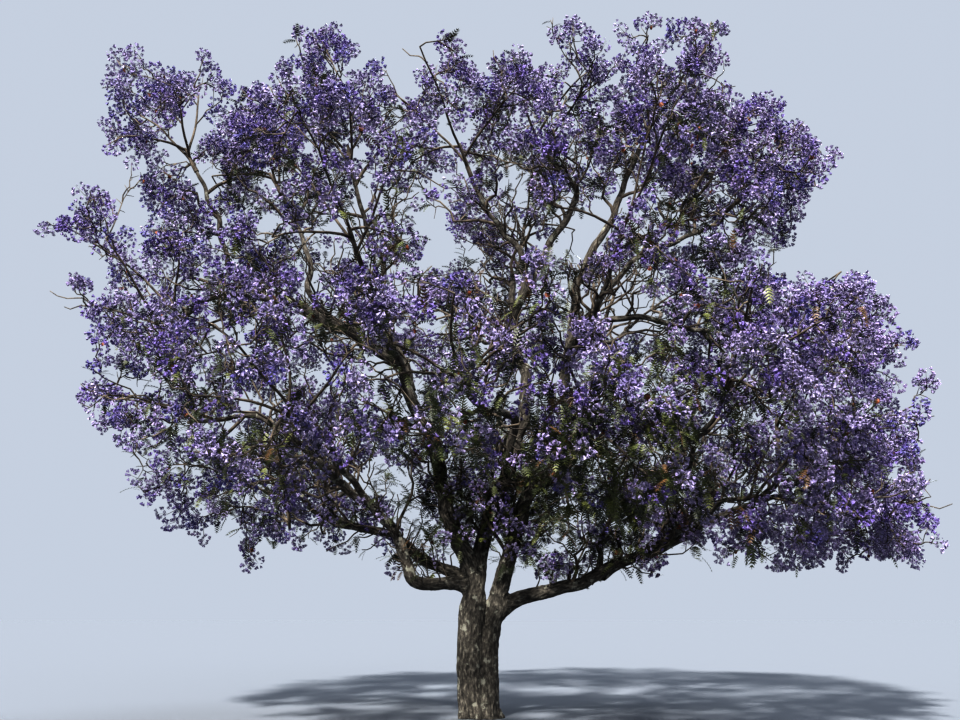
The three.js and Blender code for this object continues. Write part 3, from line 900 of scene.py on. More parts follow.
def tube_frames(lines):
    """The direction, side and over of every ring of many tubes, carried along without twist."""
    ahead = np.empty_like(lines)
    ahead[:, 1:-1] = lines[:, 2:] - lines[:, :-2]
    ahead[:, 0] = lines[:, 1] - lines[:, 0]
    ahead[:, -1] = lines[:, -1] - lines[:, -2]
    ahead = unit(ahead)
    sides = np.empty_like(lines)
    side = np.cross(ahead[:, 0], UP) + OFF_PLUMB
    for ring in range(lines.shape[1]):
        side = side - (side * ahead[:, ring]).sum(1, keepdims=True) * ahead[:, ring]
        side = unit(side)
        sides[:, ring] = side
    return ahead, sides, np.cross(ahead, sides)


def tube_triangles(count, rings, sides):
    """Triangles of many tubes, each with its tip closed by a fan."""
    ring, index = np.meshgrid(np.arange(rings - 1), np.arange(sides), indexing="ij")
    here = (ring * sides + index).ravel()
    beside = (ring * sides + (index + 1) % sides).ravel()
    walls = np.concatenate([
        np.stack([here, beside, beside + sides], 1),
        np.stack([here, beside + sides, here + sides], 1),
    ])
    last = (rings - 1) * sides
    fan = [[last, last + step, last + step + 1] for step in range(1, sides - 1)]
    one = np.concatenate([walls, np.array(fan)])
    starts = np.arange(count) * rings * sides
    return (one[None] + starts[:, None, None]).reshape(-1, 3)


def circle(sides):
    return np.arange(sides) * 2 * math.pi / sides


def around(across, over, turns):
    """Unit steps away from a line, at given turns about it."""
    return np.cos(turns)[..., None] * across + np.sin(turns)[..., None] * over


def tubes(lines, taper, sides):
    """Many tubes at once, all with the same taper. lines is (count, rings, 3)."""
    count, rings, _ = lines.shape
    _, across, over = tube_frames(lines)
    offsets = around(across[:, :, None], over[:, :, None], circle(sides))
    points = lines[:, :, None] + np.linspace(*taper, rings)[:, None, None] * offsets
    return points.reshape(-1, 3), tube_triangles(count, rings, sides)


def bent_lines(starts, ends, leave, arrive, rings, crook, rng):
    """Crooked lines from starts to ends that leave and arrive in given directions."""
    lengths = np.linalg.norm(ends - starts, axis=1)[:, None, None]
    shares = np.linspace(0, 1, rings)[None, :, None]
    one = starts[:, None]
    two = one + leave[:, None] * lengths * LEAVE_REACH
    four = ends[:, None]
    three = four - arrive[:, None] * lengths * ARRIVE_REACH
    rest = 1 - shares
    lines = rest ** 3 * one + 3 * rest ** 2 * shares * two
    lines = lines + 3 * rest * shares ** 2 * three + shares ** 3 * four
    phases = rng.uniform(0, 2 * math.pi, (len(starts), 1, 3))
    speeds = rng.uniform(*SWAY_SPEEDS, (len(starts), 1, 3))
    sway = np.sin(shares * speeds + phases) * np.sin(shares * math.pi)
    return lines + crook * lengths * sway


# Bark: a ridged relief that runs along the limb

def relief(grain):
    """How far the bark stands out at places given by across, across and along the limb."""
    heights = np.empty(len(grain))
    for index, (across, over, along) in enumerate(grain):
        place = Vector((across, over, along / FISSURE_STRETCH)) / FISSURE_SIZE
        ridges = 1 - abs(noise.noise(place)) * 2
        fine = noise.noise(place * FINE_PITCH)
        lumps = noise.noise(Vector((across, over, along * LUMP_SQUEEZE)) * LUMP_PITCH)
        heights[index] = RIDGE_SHARE * ridges + FINE_SHARE * fine + LUMP_SHARE * lumps - BARK_LEVEL
    return heights


def keep_grain(piece, grain):
    """Stores where each point lies across and along its limb, for the bark's pattern."""
    layer = piece.data.attributes.new("grain", "FLOAT_VECTOR", "POINT")
    layer.data.foreach_set("vector", np.asarray(grain, np.float32).ravel())


def swell(limb, distances):
    """The share of its radius at distances along: a collar where a side bough leaves its parent,
    and a thin start where a bough rises out of the trunk's own mesh."""
    if limb.parent:
        width = limb.parent.foot_radius * COLLAR_WIDTH
        return 1 + COLLAR * np.exp(-(distances / width) ** 2)
    return np.interp(distances, RISE_AT, RISE_SHARES)


def kink_at(point):
    """Where a bough bends off its line at a point: the same at each run."""
    place = Vector(point) * KINK_PITCH
    return [noise.noise(place + Vector(shift)) for shift in KINK_SHIFTS]


def limb_mesh(limb):
    """A bough with its bark's relief: its points and triangles, and the grain of its points."""
    start_at = 0.0 if limb.parent else RISE_AT[0]
    reach = limb.length - start_at
    rings = max(LEAST_RINGS, round(reach / LIMB_RING_STEP))
    shares = (start_at + reach * np.linspace(0, 1, rings)) / limb.length
    lines = each(limb.point_at, shares)[None]
    radii = each(limb.radius_at, shares)
    distances = shares * limb.length
    kinks = each(kink_at, lines[0])
    fade = np.interp(distances, KINKS_FROM, [0, 1]) * np.interp(1 - shares, KINKLESS_TIP, [0, 1])
    lines[0] += kinks * (radii * fade)[:, None]
    _, across, over = tube_frames(lines)
    radii = radii * (1 + LIMB_THICKER * (1 - shares)) * swell(limb, distances)
    sides = LIMB_SIDES if limb.foot_radius > SLIM_RADIUS else SLIM_SIDES
    angles = circle(sides)
    grain = np.stack([
        radii[:, None] * np.cos(angles)[None],
        radii[:, None] * np.sin(angles)[None],
        np.broadcast_to(distances[:, None] + limb.order * LIMB_SHIFT, (rings, sides)),
    ], 2).reshape(-1, 3)
    depth = np.repeat(LEAST_RELIEF + radii * LIMB_RELIEF, sides)
    out = np.repeat(radii, sides) + depth * relief(grain)
    offsets = around(across[0][:, None], over[0][:, None], angles).reshape(-1, 3)
    points = np.repeat(lines[0], sides, axis=0) + out[:, None] * offsets
    return points, tube_triangles(1, rings, sides), grain


def build_boughs(limbs, material):
    meshes = [limb_mesh(limb) for limb in limbs]
    parts = [(points, triangles) for points, triangles, _ in meshes]
    nodes = [f"bough_{limb.name}" for limb in limbs]
    piece = add_piece("boughs", parts, True, material, nodes)
    keep_grain(piece, np.concatenate([grain for _, _, grain in meshes]))


def stem_line(stem, count):
    """Heights up one stem of the trunk, and its middle line there."""
    middles = np.array(stem["middles"], float)
    heights = np.linspace(0, middles[-1][2], count)
    line = np.stack([np.interp(heights, middles[:, 2], middles[:, axis]) for axis in range(3)], 1)
    return heights, line


def stem_tube(stem):
    """One stem of the trunk, rounder than its solid, with flared lobes at its foot."""
    heights, line = stem_line(stem, STEM_RINGS)
    radii = np.interp(heights, [middle[2] for middle in stem["middles"]], stem["radii"])
    flare = stem["flare"] * np.maximum(0, 1 - heights / FLARE_HEIGHT) ** 2
    angles = circle(TRUNK_SIDES)
    out = radii[:, None] + flare[:, None] * np.cos(angles * FLARE_LOBES)[None]
    out = out * np.interp(heights[-1] - heights, STEM_ROUND_FROM, STEM_ROUND_SHARES)[:, None]
    around_stem = np.stack([np.cos(angles), np.sin(angles), np.zeros(TRUNK_SIDES)], 1)
    return closed(line[:, None] + out[:, :, None] * around_stem)


def closed(rings_of_points):
    """A closed tube through rings of points, for the remesh."""
    rings, sides, _ = rings_of_points.shape
    triangles = tube_triangles(1, rings, sides)
    fan = np.array([[0, step + 1, step] for step in range(1, sides - 1)])
    return rings_of_points.reshape(-1, 3), np.concatenate([triangles, fan])


def stub_tube(limb):
    """The first stretch of a bough that starts from the trunk. It bends out of its stem from
    below the fork, and sinks at its end."""
    lower, top = np.array(TRUNK_STEMS[limb.start]["middles"][-2:], float)
    low = top - unit(top - lower) * STUB_BEND
    bend_end = limb.point_at(STUB_BEND / limb.length)
    shares = np.linspace(0, 1, STUB_RINGS)[:, None]
    bend = (1 - shares) ** 2 * low + 2 * shares * (1 - shares) * top + shares ** 2 * bend_end
    further = np.linspace(STUB_BEND, TRUNK_REACH, STUB_RINGS)[1:]
    lines = np.concatenate([bend, each(limb.point_at, further / limb.length)])[None]
    distances = np.concatenate([np.linspace(-STUB_BEND, STUB_BEND, STUB_RINGS), further])
    _, across, over = tube_frames(lines)
    radii = each(limb.radius_at, np.maximum(0, distances) / limb.length)
    radii = radii * (1 + LIMB_THICKER) * np.interp(distances, STUB_AT, STUB_SHARES)
    offsets = around(across[0][:, None], over[0][:, None], circle(STUB_SIDES))
    return closed(lines[0][:, None] + radii[:, None, None] * offsets)


def trunk_axes(limbs):
    """Points, directions, sides and distances along everything that the trunk's mesh holds."""
    samples = []
    for order, stem in enumerate(TRUNK_STEMS.values()):
        heights, line = stem_line(stem, STEM_SAMPLES)
        directions = np.broadcast_to(UP, line.shape)
        sides = np.broadcast_to([1.0, 0.0, 0.0], line.shape)
        samples.append((line, directions, sides, heights + order * STEM_SHIFT))
    for limb in limbs:
        if limb.parent:
            continue
        distances = np.linspace(STUB_FROM, TRUNK_REACH, STUB_SAMPLES)
        line = each(limb.point_at, distances / limb.length)[None]
        ahead, across, _ = tube_frames(line)
        samples.append((line[0], ahead[0], across[0], distances + limb.order * LIMB_SHIFT))
    return [np.concatenate(some) for some in zip(*samples)]


def trunk_grain(limbs, places):
    """Where each point of the trunk lies across and along the stem or bough nearest to it."""
    points, directions, sides, distances = trunk_axes(limbs)
    nearest = np.concatenate([squared_gaps(some, points).argmin(1) for some in chunks(places)])
    offset = places - points[nearest]
    ahead = directions[nearest]
    across = sides[nearest]
    over = np.cross(ahead, across)
    along = distances[nearest] + (offset * ahead).sum(1)
    return np.stack([(offset * across).sum(1), (offset * over).sum(1), along], 1)


def read_vectors(mesh, key):
    values = np.empty(len(mesh.vertices) * 3, np.float32)
    mesh.vertices.foreach_get(key, values)
    return values.reshape(-1, 3).astype(float)


def build_trunk(limbs, material):
    parts = [stem_tube(stem) for stem in TRUNK_STEMS.values()]
    parts += [stub_tube(limb) for limb in limbs if not limb.parent]
    piece = make_mesh("trunk_bark", *join(parts), True)
    remesh = piece.modifiers.new("remesh", "REMESH")
    remesh.mode = "VOXEL"
    remesh.voxel_size = TRUNK_VOXEL
    smooth = piece.modifiers.new("smooth", "SMOOTH")
    smooth.factor = 0.5
    smooth.iterations = 5
    evaluated = piece.evaluated_get(bpy.context.evaluated_depsgraph_get())
    shape = bpy.data.meshes.new_from_object(evaluated)
    piece.modifiers.clear()
    piece.data = shape
    places = read_vectors(shape, "co")
    grain = trunk_grain(limbs, places)
    depth = TRUNK_RELIEF * np.clip(places[:, 2] / FLAT_FOOT, 0, 1)
    depth = depth * np.interp(places[:, 2], RELIEF_HEIGHTS, RELIEF_SHARES)
    places = places + read_vectors(shape, "normal") * (depth * relief(grain))[:, None]
    places[:, 2] = np.maximum(places[:, 2], 0.0)
    shape.vertices.foreach_set("co", places.astype(np.float32).ravel())
    shape.polygons.foreach_set("use_smooth", np.full(len(shape.polygons), True))
    shape.update()
    wear(piece, material, ["trunk"])
    keep_grain(piece, grain)


# Twigs, carried on from the sprays of the solids

def grow_mass(limb, crown):
    """The wood of one mass: its stem, its twigs, and a branchlet for every spray of its solid."""
    samples = crown.near(limb)
    draw = seeded_random(MASS_SEED + limb.order)
    foot, head, twigs = grow_twigs(limb, crown, samples, draw)
    sprays = grow_sprays(limb, crown, samples, draw, twigs)
    rng = np.random.default_rng(FINE_SEED + limb.order)
    ahead = limb.direction_at(1.0)[None]
    stem = bent_lines(foot[None] - ahead * STEM_SUNK, head[None], ahead, ahead, *STEM_LINE, rng)
    starts, elbows, ends = np.stack([twig["points"] for twig in twigs], 1)
    leave = unit(elbows - starts)
    lines = bent_lines(starts, ends, leave, unit(ends - elbows), *TWIG_LINE, rng)
    tips = np.array([spray["tip"] for spray in sprays])
    points = lines.reshape(-1, 3)
    roots = points[squared_gaps(np.array([spray["root"] for spray in sprays]), points).argmin(1)]
    leave = unit(unit(tips - roots) + HEAD_LIFTS[0] * UP)
    arrive = unit(unit(tips - roots) + HEAD_LIFTS[1] * UP)
    ends = tips - arrive * rng.uniform(*PANICLE_LENGTHS, (len(sprays), 1))
    return stem, lines, bent_lines(roots, ends, leave, arrive, *HEAD_LINE, rng)


def on_lines(lines, share):
    """The point and direction at a share of the way along each of some lines."""
    place = share * (lines.shape[1] - 1)
    index = min(int(place), lines.shape[1] - 2)
    step = lines[:, index + 1] - lines[:, index]
    return lines[:, index] + step * (place - index), unit(step)


def side_ways(ahead, turns, leave):
    """Directions that leave a line at given turns about it."""
    outward, onward, upward = leave
    across = unit(np.cross(ahead, UP) + OFF_PLUMB)
    radial = around(across, np.cross(ahead, across), turns)
    return unit(outward * radial + onward * ahead + upward * UP)


def side_shoots(kind, limb, distances, lengths, rng):
    """Where side shoots along a bough start, the ways that they leave, and where they end."""
    shares = distances / limb.length
    starts = each(limb.point_at, shares)
    turns = np.arange(len(shares)) * GOLDEN_TURN + rng.uniform(*ANY_TURN)
    ways = side_ways(each(limb.direction_at, shares), turns, kind["leave"])
    return starts, ways, starts + ways * rng.uniform(*lengths, (len(shares), 1))


def sprout(kind, starts, ways, ends, fits, rng):
    """The lines of those shoots that fit."""
    arrive = unit(ways + kind["lift"] * UP)
    return bent_lines(starts[fits], ends[fits], ways[fits], arrive[fits], *kind["line"], rng)


def grow_shoots(limbs, crown, seed, spacing, lengths, deepest=None):
    """Side shoots all along the boughs, which fill the crown between its masses. Those with a
    deepest place stay in the middle of the crown, bare, and may cross the open places."""
    rng = np.random.default_rng(seed)
    lines = []
    for limb in limbs:
        first = SHOOT_FIRST["side" if limb.parent else "primary"]
        last = max(limb.length - SHOOT_LAST, first + SHOOT_STRETCH)
        distances = np.arange(first, last, spacing)
        distances = distances + rng.uniform(*SHOOT_SHIFTS, len(distances))
        starts, ways, ends = side_shoots(SHOOT, limb, distances, lengths, rng)
        fits = crown.holds(ends) & (ends[:, 2] > SHOOT_FLOOR) & inside_box(ends, SHOOT_MARGIN)
        if deepest:
            fits &= depth_in_crown(ends) < deepest
        else:
            fits &= ~in_sky_gap(ends, GAP_MARGIN)
            fits &= ~in_sky_gap((starts + ends) / 2, FINE_GAP_MARGIN)
        fits &= crown.clearance(ends) > SHOOT_CLEARANCE
        lines.append(sprout(SHOOT, starts, ways, ends, fits, rng))
    return np.concatenate(lines)


def grow_heart(limbs, crown):
    """Short leafy branchlets on the first stretch of the boughs, around the forks."""
    rng = np.random.default_rng(FINE_SEED - 6)
    distances = np.arange(*HEART_REACH, HEART_STEP)
    lines = []
    for limb in limbs:
        if limb.parent:
            continue
        starts, ways, ends = side_shoots(HEART_SHOOT, limb, distances, HEART_LENGTHS, rng)
        fits = (ends[:, 2] > HEART_FLOOR) & (crown.clearance(ends) > HEART_CLEARANCE)
        lines.append(sprout(HEART_SHOOT, starts, ways, ends, fits, rng))
    return np.concatenate(lines)


def depth_in_crown(points):
    """0 in the middle of the crown and about 1 at its edge."""
    return np.linalg.norm((points - CROWN_MIDDLE) / CROWN_HALF, axis=-1)


def grow_branchlets(shoots, crown, seed, size=BRANCHLET_LENGTHS):
    """Branchlets along twigs, side shoots or other branchlets."""
    rng = np.random.default_rng(seed)
    lines = []
    for number, share in enumerate(BRANCHLET_SHARES):
        kind = END_BRANCHLET if share == BRANCHLET_SHARES[-1] else BRANCHLET
        starts, ahead = on_lines(shoots, share)
        turns = np.arange(len(shoots)) * BRANCHLET_TURN + number * GOLDEN_TURN
        ways = side_ways(ahead, turns, kind["leave"])
        ends = starts + ways * rng.uniform(*size, (len(shoots), 1))
        fits = crown.holds(ends) & ~in_sky_gap(ends, GAP_MARGIN) & inside_box(ends, SHOOT_MARGIN)
        lines.append(sprout(kind, starts, ways, ends, fits & ~beyond_edge(ends), rng))
    return np.concatenate(lines)


def grow_fine(branchlets, crown):
    """Fine twigs along the branchlets, each with a panicle on its end, and one on their tips."""
    rng = np.random.default_rng(FINE_SEED - 3)
    starts = []
    ways = []
    lengths = []
    for number, share in enumerate(FINE_SHARES):
        places, ahead = on_lines(branchlets, share)
        turns = np.arange(len(branchlets)) * FINE_TURN + number * GOLDEN_TURN
        starts.append(places)
        ways.append(side_ways(ahead, turns, FINE_LEAVE))
        lengths.append(rng.uniform(*FINE_LENGTHS, len(branchlets)))
    starts, ways, lengths = [np.concatenate(some) for some in (starts, ways, lengths)]
    tips = starts + ways * lengths[:, None]
    panicles = np.minimum(rng.uniform(*PANICLE_LENGTHS, len(tips)), lengths * PANICLE_MOST)
    fits = crown.holds(tips) & ~in_sky_gap(tips, FINE_GAP_MARGIN) & inside_box(tips, FINE_MARGIN)
    fits &= (tips[:, 2] > HEART_FLOOR) & (crown.clearance(tips) > FINE_CLEARANCE)
    fits &= ~beyond_edge(tips) & ~in_sky_gap(tips - ways * panicles[:, None], FINE_GAP_MARGIN)
    order = rng.permutation(np.nonzero(fits)[0])
    kept = np.sort(order[spaced_out(tips[order], branchlets[:, -1], FINE_SPACING)])
    starts, ways, panicles = [some[kept] for some in (starts, ways, panicles)]
    axes = unit(ways + rng.uniform(*FINE_LIFTS, (len(kept), 1)) * UP)
    ends = tips[kept] - axes * panicles[:, None]
    lines = bent_lines(starts, ends, ways, axes, *FINE_LINE, rng)
    tip_axes = unit(branchlets[:, -1] - branchlets[:, -2])
    tip_lengths = rng.uniform(*PANICLE_LENGTHS, len(branchlets))
    tops = branchlets[:, -1] + tip_axes * tip_lengths[:, None]
    whole = inside_box(tops, TIP_MARGIN) & ~beyond_edge(tops)
    return {
        "lines": lines,
        "bases": np.concatenate([branchlets[whole, -1], ends]),
        "axes": np.concatenate([tip_axes[whole], axes]),
        "lengths": np.concatenate([tip_lengths[whole], panicles]),
    }


def spaced_out(places, taken, spacing):
    """Which of some places to keep so that all lie apart from each other and from those taken."""
    all_places = np.concatenate([taken, places])
    count = len(taken)
    kept = []
    for index, place in enumerate(places):
        if ((all_places[:count] - place) ** 2).sum(1).min() < spacing ** 2:
            continue
        all_places[count] = place
        count += 1
        kept.append(index)
    return np.array(kept)


def heart_share(points):
    """How close points lie to the leafy heart of the tree, around and above its forks."""
    across = (points[:, 0] - HEART_MIDDLE[0]) / HEART_HALF[0]
    up = (points[:, 2] - HEART_MIDDLE[1]) / HEART_HALF[1]
    return np.exp(-across ** 2 - up ** 2)


def blossoming(bases):
    """Which of the fine twigs blossom."""
    depths = depth_in_crown(bases)
    chance = LEAST_BLOSSOM + BLOSSOM_GAIN * (depths - BARE_DEPTH)
    clumps = np.array([noise.noise(Vector(base) * CLUMP_PITCH) for base in bases])
    clumps += CLUMP_CLOSING * np.clip(depths - CLOSING_DEPTH, 0, 1)
    chance = np.clip(chance, LEAST_BLOSSOM, 1) * np.interp(clumps, CLUMP_RANGE, [CLUMP_LEAST, 1])
    chance = chance * (1 - HEART_LOSS * heart_share(bases))
    for place in THIN_PLACES:
        chance = np.where(seen_in(bases, place), chance * place["share"], chance)
    return np.random.default_rng(BLOSSOMING_SEED).uniform(0, 1, len(bases)) < chance


# Blossom, leaves and pods: small shapes set on places, each turned its own way

def turned_frames(directions, rng):
    """Two sides square to each direction, turned by chance about it."""
    away = unit(rng.normal(size=directions.shape))
    across = unit(np.cross(directions, away))
    return across, np.cross(directions, across)


def set_out(shape, places, directions, across, over, sizes):
    """Copies of one small shape, whose z axis goes along the directions."""
    corners, triangles = shape
    points = (
        corners[None, :, 0, None] * across[:, None]
        + corners[None, :, 1, None] * over[:, None]
        + corners[None, :, 2, None] * directions[:, None]
    )
    points = places[:, None] + points * sizes[:, None, None]
    starts = np.arange(len(places)) * len(corners)
    return points.reshape(-1, 3), (triangles[None] + starts[:, None, None]).reshape(-1, 3)


def loose_faces(points):
    """Every three points in a row as one triangle."""
    points = np.reshape(points, (-1, 3))
    return points, np.arange(len(points)).reshape(-1, 3)


def spindle(rim, first, second):
    """A closed shape out of a rim and a point on either side of it."""
    count = len(rim)
    triangles = []
    for index in range(count):
        beside = (index + 1) % count
        triangles.append([count, beside, index])
        triangles.append([index, beside, count + 1])
    return np.concatenate([rim, [first], [second]]), np.array(triangles)


def blossom_shape():
    """A five-petalled bell: each petal widens from the stalk to the flaring mouth."""
    points = []
    for angle in circle(PETALS):
        for turn, out, along in PETAL_CORNERS:
            points.append([out * math.cos(angle + turn), out * math.sin(angle + turn), along])
    return loose_faces(points)


def bud_shape():
    """A closed bud: a slim six-faced club."""
    angles = circle(3)
    waist = np.stack([np.cos(angles), np.sin(angles), np.ones(3)], 1) * BUD_WAIST
    return spindle(waist, [0.0, 0.0, 0.0], BUD_TIP)


def leaf_shape():
    """A feathery leaf: a rib with pairs of narrow leaflets, arching down to its tip."""
    points = []

    def blade(start, end, width):
        side = unit(np.cross(end - start, UP)) * width
        points.extend([start + side, end, start - side])

    def on_rib(share):
        rise = RIB_RISE * math.sin(share * RIB_ARCH) - RIB_DROOP * share ** 2
        return np.array([share, 0.0, rise])

    for start, end, width in RIB_BLADES:
        blade(on_rib(start), on_rib(end), width)
    for share in np.linspace(*LEAFLET_PLACES, LEAFLET_PAIRS):
        reach = LEAFLET_REACH * math.sin(LEAFLET_ARCH[0] + LEAFLET_ARCH[1] * share)
        for side in (-1, 1):
            step = np.array([reach * LEAFLET_SLANT, side * reach, -LEAFLET_FALL])
            blade(on_rib(share), on_rib(share) + step, LEAFLET_WIDTH)
    blade(on_rib(0.95), on_rib(1.0) + END_LEAFLET, END_WIDTH)
    return loose_faces(np.array(points)[:, [1, 2, 0]])


def pod_shape():
    """A flat round seed pod, a little wavy at its rim."""
    angles = circle(POD_SIDES)
    wave = POD_WAVE * np.sin(angles * 2)
    rim = np.stack([0.5 * np.cos(angles), wave, 0.5 + 0.5 * np.sin(angles)], 1)
    return spindle(rim, [0.0, -POD_BULGE, 0.5], [0.0, POD_BULGE, 0.5])


# The tones of blossom and leaves, dealt out by panicle and by whorl. lit says how much likelier a tone
# is low down, where the sun reaches in under the crown: painted light, with the lighter tones dealt
# out there and the deeper ones kept away so that the lower crown looks lit. right says how much
# likelier a tone is on the right.
def tone(name, colour, share, lit=0.0, right=0.0):
    return {"name": name, "colour": colour, "share": share, "lit": lit, "right": right}


BLOSSOM_TONES = [
    tone("light_lilac", (0.184, 0.161, 0.266), share=0.16, lit=1.2, right=0.2),
    tone("lavender", (0.128, 0.106, 0.216), share=0.26, lit=0.5),
    tone("violet", (0.093, 0.065, 0.203), share=0.24),
    tone("blue_violet", (0.068, 0.056, 0.187), share=0.16, lit=-0.6, right=-0.6),
    tone("pink_lilac", (0.152, 0.121, 0.226), share=0.10, lit=0.3, right=0.9),
    tone("deep_violet", (0.044, 0.028, 0.121), share=0.08, lit=-0.8, right=0.2),
]
LEAF_TONES = [
    tone("dark_olive", (0.018, 0.024, 0.010), share=0.44),
    tone("olive", (0.050, 0.060, 0.020), share=0.38),
    tone("yellow_green", (0.085, 0.096, 0.030), share=0.12),
    tone("tawny", (0.085, 0.048, 0.020), share=0.06),
]


def deal_tones(bases, rng):
    """A tone for every panicle, by chance and by where it is."""
    # Painted light: the lighter tones weigh more low down, where the sun would reach in under the
    # crown
    lit = np.clip(LIT_AT_GROUND - bases[:, 2] * LIT_FALL, *LIT_RANGE)
    right = np.clip(bases[:, 0] / RIGHT_REACH, -1, 1)
    weights = []
    for row in BLOSSOM_TONES:
        weights.append(row["share"] * np.exp(row["lit"] * lit + row["right"] * right))
    weights = np.stack(weights, 1)
    weights = np.cumsum(weights / weights.sum(1, keepdims=True), 1)
    return (rng.uniform(0, 1, (len(bases), 1)) > weights).sum(1).clip(0, len(BLOSSOM_TONES) - 1)


def inside_box(points, margin):
    low = np.array(CAD_BOX[0]) + margin
    high = np.array(CAD_BOX[1]) - margin
    return ((points > low) & (points < high)).all(-1)


def build_blossom(fine, materials, stalk_material):
    """Panicles: blossoms set around an axis in a golden spiral, narrower towards its tip."""
    rng = np.random.default_rng(BLOSSOM_SEED)
    chosen = blossoming(fine["bases"])
    bases, axes, lengths = [fine[key][chosen] for key in ("bases", "axes", "lengths")]
    tones = deal_tones(bases, rng)
    across, over = turned_frames(axes, rng)
    widths = rng.uniform(*PANICLE_WIDTHS, len(bases))[:, None]
    many = (len(bases), BLOSSOMS)
    order = np.arange(BLOSSOMS)[None]
    along = np.clip((order + rng.uniform(0, 1, many)) / BLOSSOMS, 0, 1) ** CROWDING
    turns = order * SPIRAL_TURN + rng.uniform(*ANY_TURN, (len(bases), 1))
    turns = turns + rng.normal(0, TURN_SPREAD, many)
    out = widths * np.sqrt(BLUNTNESS - along ** 2) * rng.uniform(*OUT_SHARES, many) ** 0.5
    radial = around(across[:, None], over[:, None], turns)
    heights = (along * lengths[:, None] * AXIS_SHARE)[:, :, None]
    stems = bases[:, None] + axes[:, None] * heights
    places = stems + radial * out[:, :, None]
    droop = rng.uniform(*DROOP, (*many, 1)) * -UP
    ways = radial + ONWARD * axes[:, None] + droop + rng.normal(0, WAY_SPREAD, radial.shape)
    ways = unit(ways)
    sizes = rng.uniform(*BLOSSOM_SIZES, many)
    budding = rng.uniform(0, 1, many) < np.where(along > BUD_FROM, TIP_BUDS, LOWER_BUDS)
    keep = inside_box(places + ways * sizes[:, :, None], BLOSSOM_MARGIN)
    keep &= inside_box(places, BLOSSOM_MARGIN)
    for number, row in enumerate(BLOSSOM_TONES):
        parts = []
        for shape, of_shape in ((blossom_shape(), ~budding), (bud_shape(), budding)):
            some = (tones == number)[:, None] & keep & of_shape
            frames = turned_frames(ways[some], rng)
            parts.append(set_out(shape, places[some], ways[some], *frames, sizes[some]))
        add_piece(f"blossom_{row['name']}", parts, False, materials[row["name"]])
    build_stalks(bases, axes, lengths, stems, places, rng, stalk_material)


def build_stalks(bases, axes, lengths, stems, places, rng, material):
    """The axis of every panicle and a few of its side stalks, each one thin face."""
    across, over = turned_frames(axes, rng)
    spike = np.array(SPIKE_CORNERS), np.array([[0, 1, 3], [1, 2, 3], [2, 0, 3]])
    parts = [set_out(spike, bases, axes, across, over, lengths)]
    for index in range(1, BLOSSOMS, STALK_EVERY):
        starts = stems[:, index] - axes * STALK_DROP
        half = across * STALK_HALF
        parts.append(loose_faces(np.stack([starts - half, starts + half, places[:, index]], 1)))
    add_piece("panicle_stalks", parts, True, material)


def leaf_chance(bases, heart):
    """How likely leaves are: more low down, in the heart and where nothing blossoms."""
    low = np.clip((LOW_CROWN - bases[:, 2]) / LOW_STRETCH, 0, 1)
    chance = LEAF_CHANCE["least"] + LEAF_CHANCE["low"] * low + LEAF_CHANCE["heart"] * heart
    chance = np.where(blossoming(bases), chance, chance + LEAF_CHANCE["bare"])
    leafier = np.any([seen_in(bases, place) for place in LEAFY_PLACES], axis=0)
    chance = np.where(leafier, chance + LEAF_CHANCE["leafy"], chance)
    outward = (bases - CROWN_MIDDLE) / CROWN_HALF
    rim = np.hypot(outward[:, 0], outward[:, 2])
    return chance * np.interp(rim, LEAFLESS_RIM, [1, LEAF_CHANCE["rim"]])


def build_leaves(fine, materials):
    """Young and old leaves in small whorls at the feet of some panicles."""
    rng = np.random.default_rng(LEAF_SEED)
    heart = heart_share(fine["bases"])
    leafy = rng.uniform(0, 1, len(heart)) < leaf_chance(fine["bases"], heart)
    bases = fine["bases"][leafy]
    whorl = rng.integers(*WHORL, len(bases)) + np.round(HEART_WHORL * heart[leafy]).astype(int)
    index = np.repeat(np.arange(len(bases)), whorl)
    axes = fine["axes"][leafy][index]
    places = bases[index] - axes * rng.uniform(*WHORL_DROP, (len(index), 1))
    across, _ = turned_frames(axes, rng)
    ways = across + LEAF_ONWARD * axes + rng.normal(0, LEAF_SPREAD, across.shape) - LEAF_DROOP * UP
    ways = unit(ways)
    sides = unit(np.cross(ways, UP))
    frames = np.stack([places, ways, sides, np.cross(sides, ways)])
    sizes = rng.uniform(*LEAF_SIZES, len(index))
    keep = inside_box(places + ways * sizes[:, None] * LEAF_ROOM, LEAF_MARGIN)
    tones = rng.choice(len(LEAF_TONES), len(bases), p=[row["share"] for row in LEAF_TONES])
    for number, row in enumerate(LEAF_TONES):
        some = (tones[index] == number) & keep
        part = set_out(leaf_shape(), *frames[:, some], sizes[some])
        add_piece(f"leaves_{row['name']}", [part], False, materials[row["name"]])


def build_pods(fine, material):
    rng = np.random.default_rng(POD_SEED)
    places = fine["lines"][rng.choice(len(fine["lines"]), PODS, replace=False), 1]
    ways = unit(-UP + rng.normal(0, POD_SPREAD, places.shape))
    frames = np.stack([places, ways, *turned_frames(ways, rng)])
    sizes = rng.uniform(*POD_SIZES, len(places))
    keep = inside_box(places + ways * POD_ROOM, POD_MARGIN)
    part = set_out(pod_shape(), *frames[:, keep], sizes[keep])
    add_piece("pods", [part], False, material)


# Materials

def new_material(name, roughness):
    material = bpy.data.materials.new(name)
    material.use_nodes = True
    shader = material.node_tree.nodes["Principled BSDF"]
    shader.inputs["Roughness"].default_value = roughness
    return material, material.node_tree, shader


def add_node(tree, kind, values, links):
    """A shader node with some of its inputs set and some linked."""
    node = tree.nodes.new(f"ShaderNode{kind}")
    for key, value in values.items():
        node.inputs[key].default_value = value
    for key, socket in links.items():
        tree.links.new(socket, node.inputs[key])
    return node


def add_noise(tree, vector, scale, detail, roughness=0.55):
    values = {"Scale": scale, "Detail": detail, "Roughness": roughness}
    return add_node(tree, "TexNoise", values, {"Vector": vector}).outputs["Fac"]


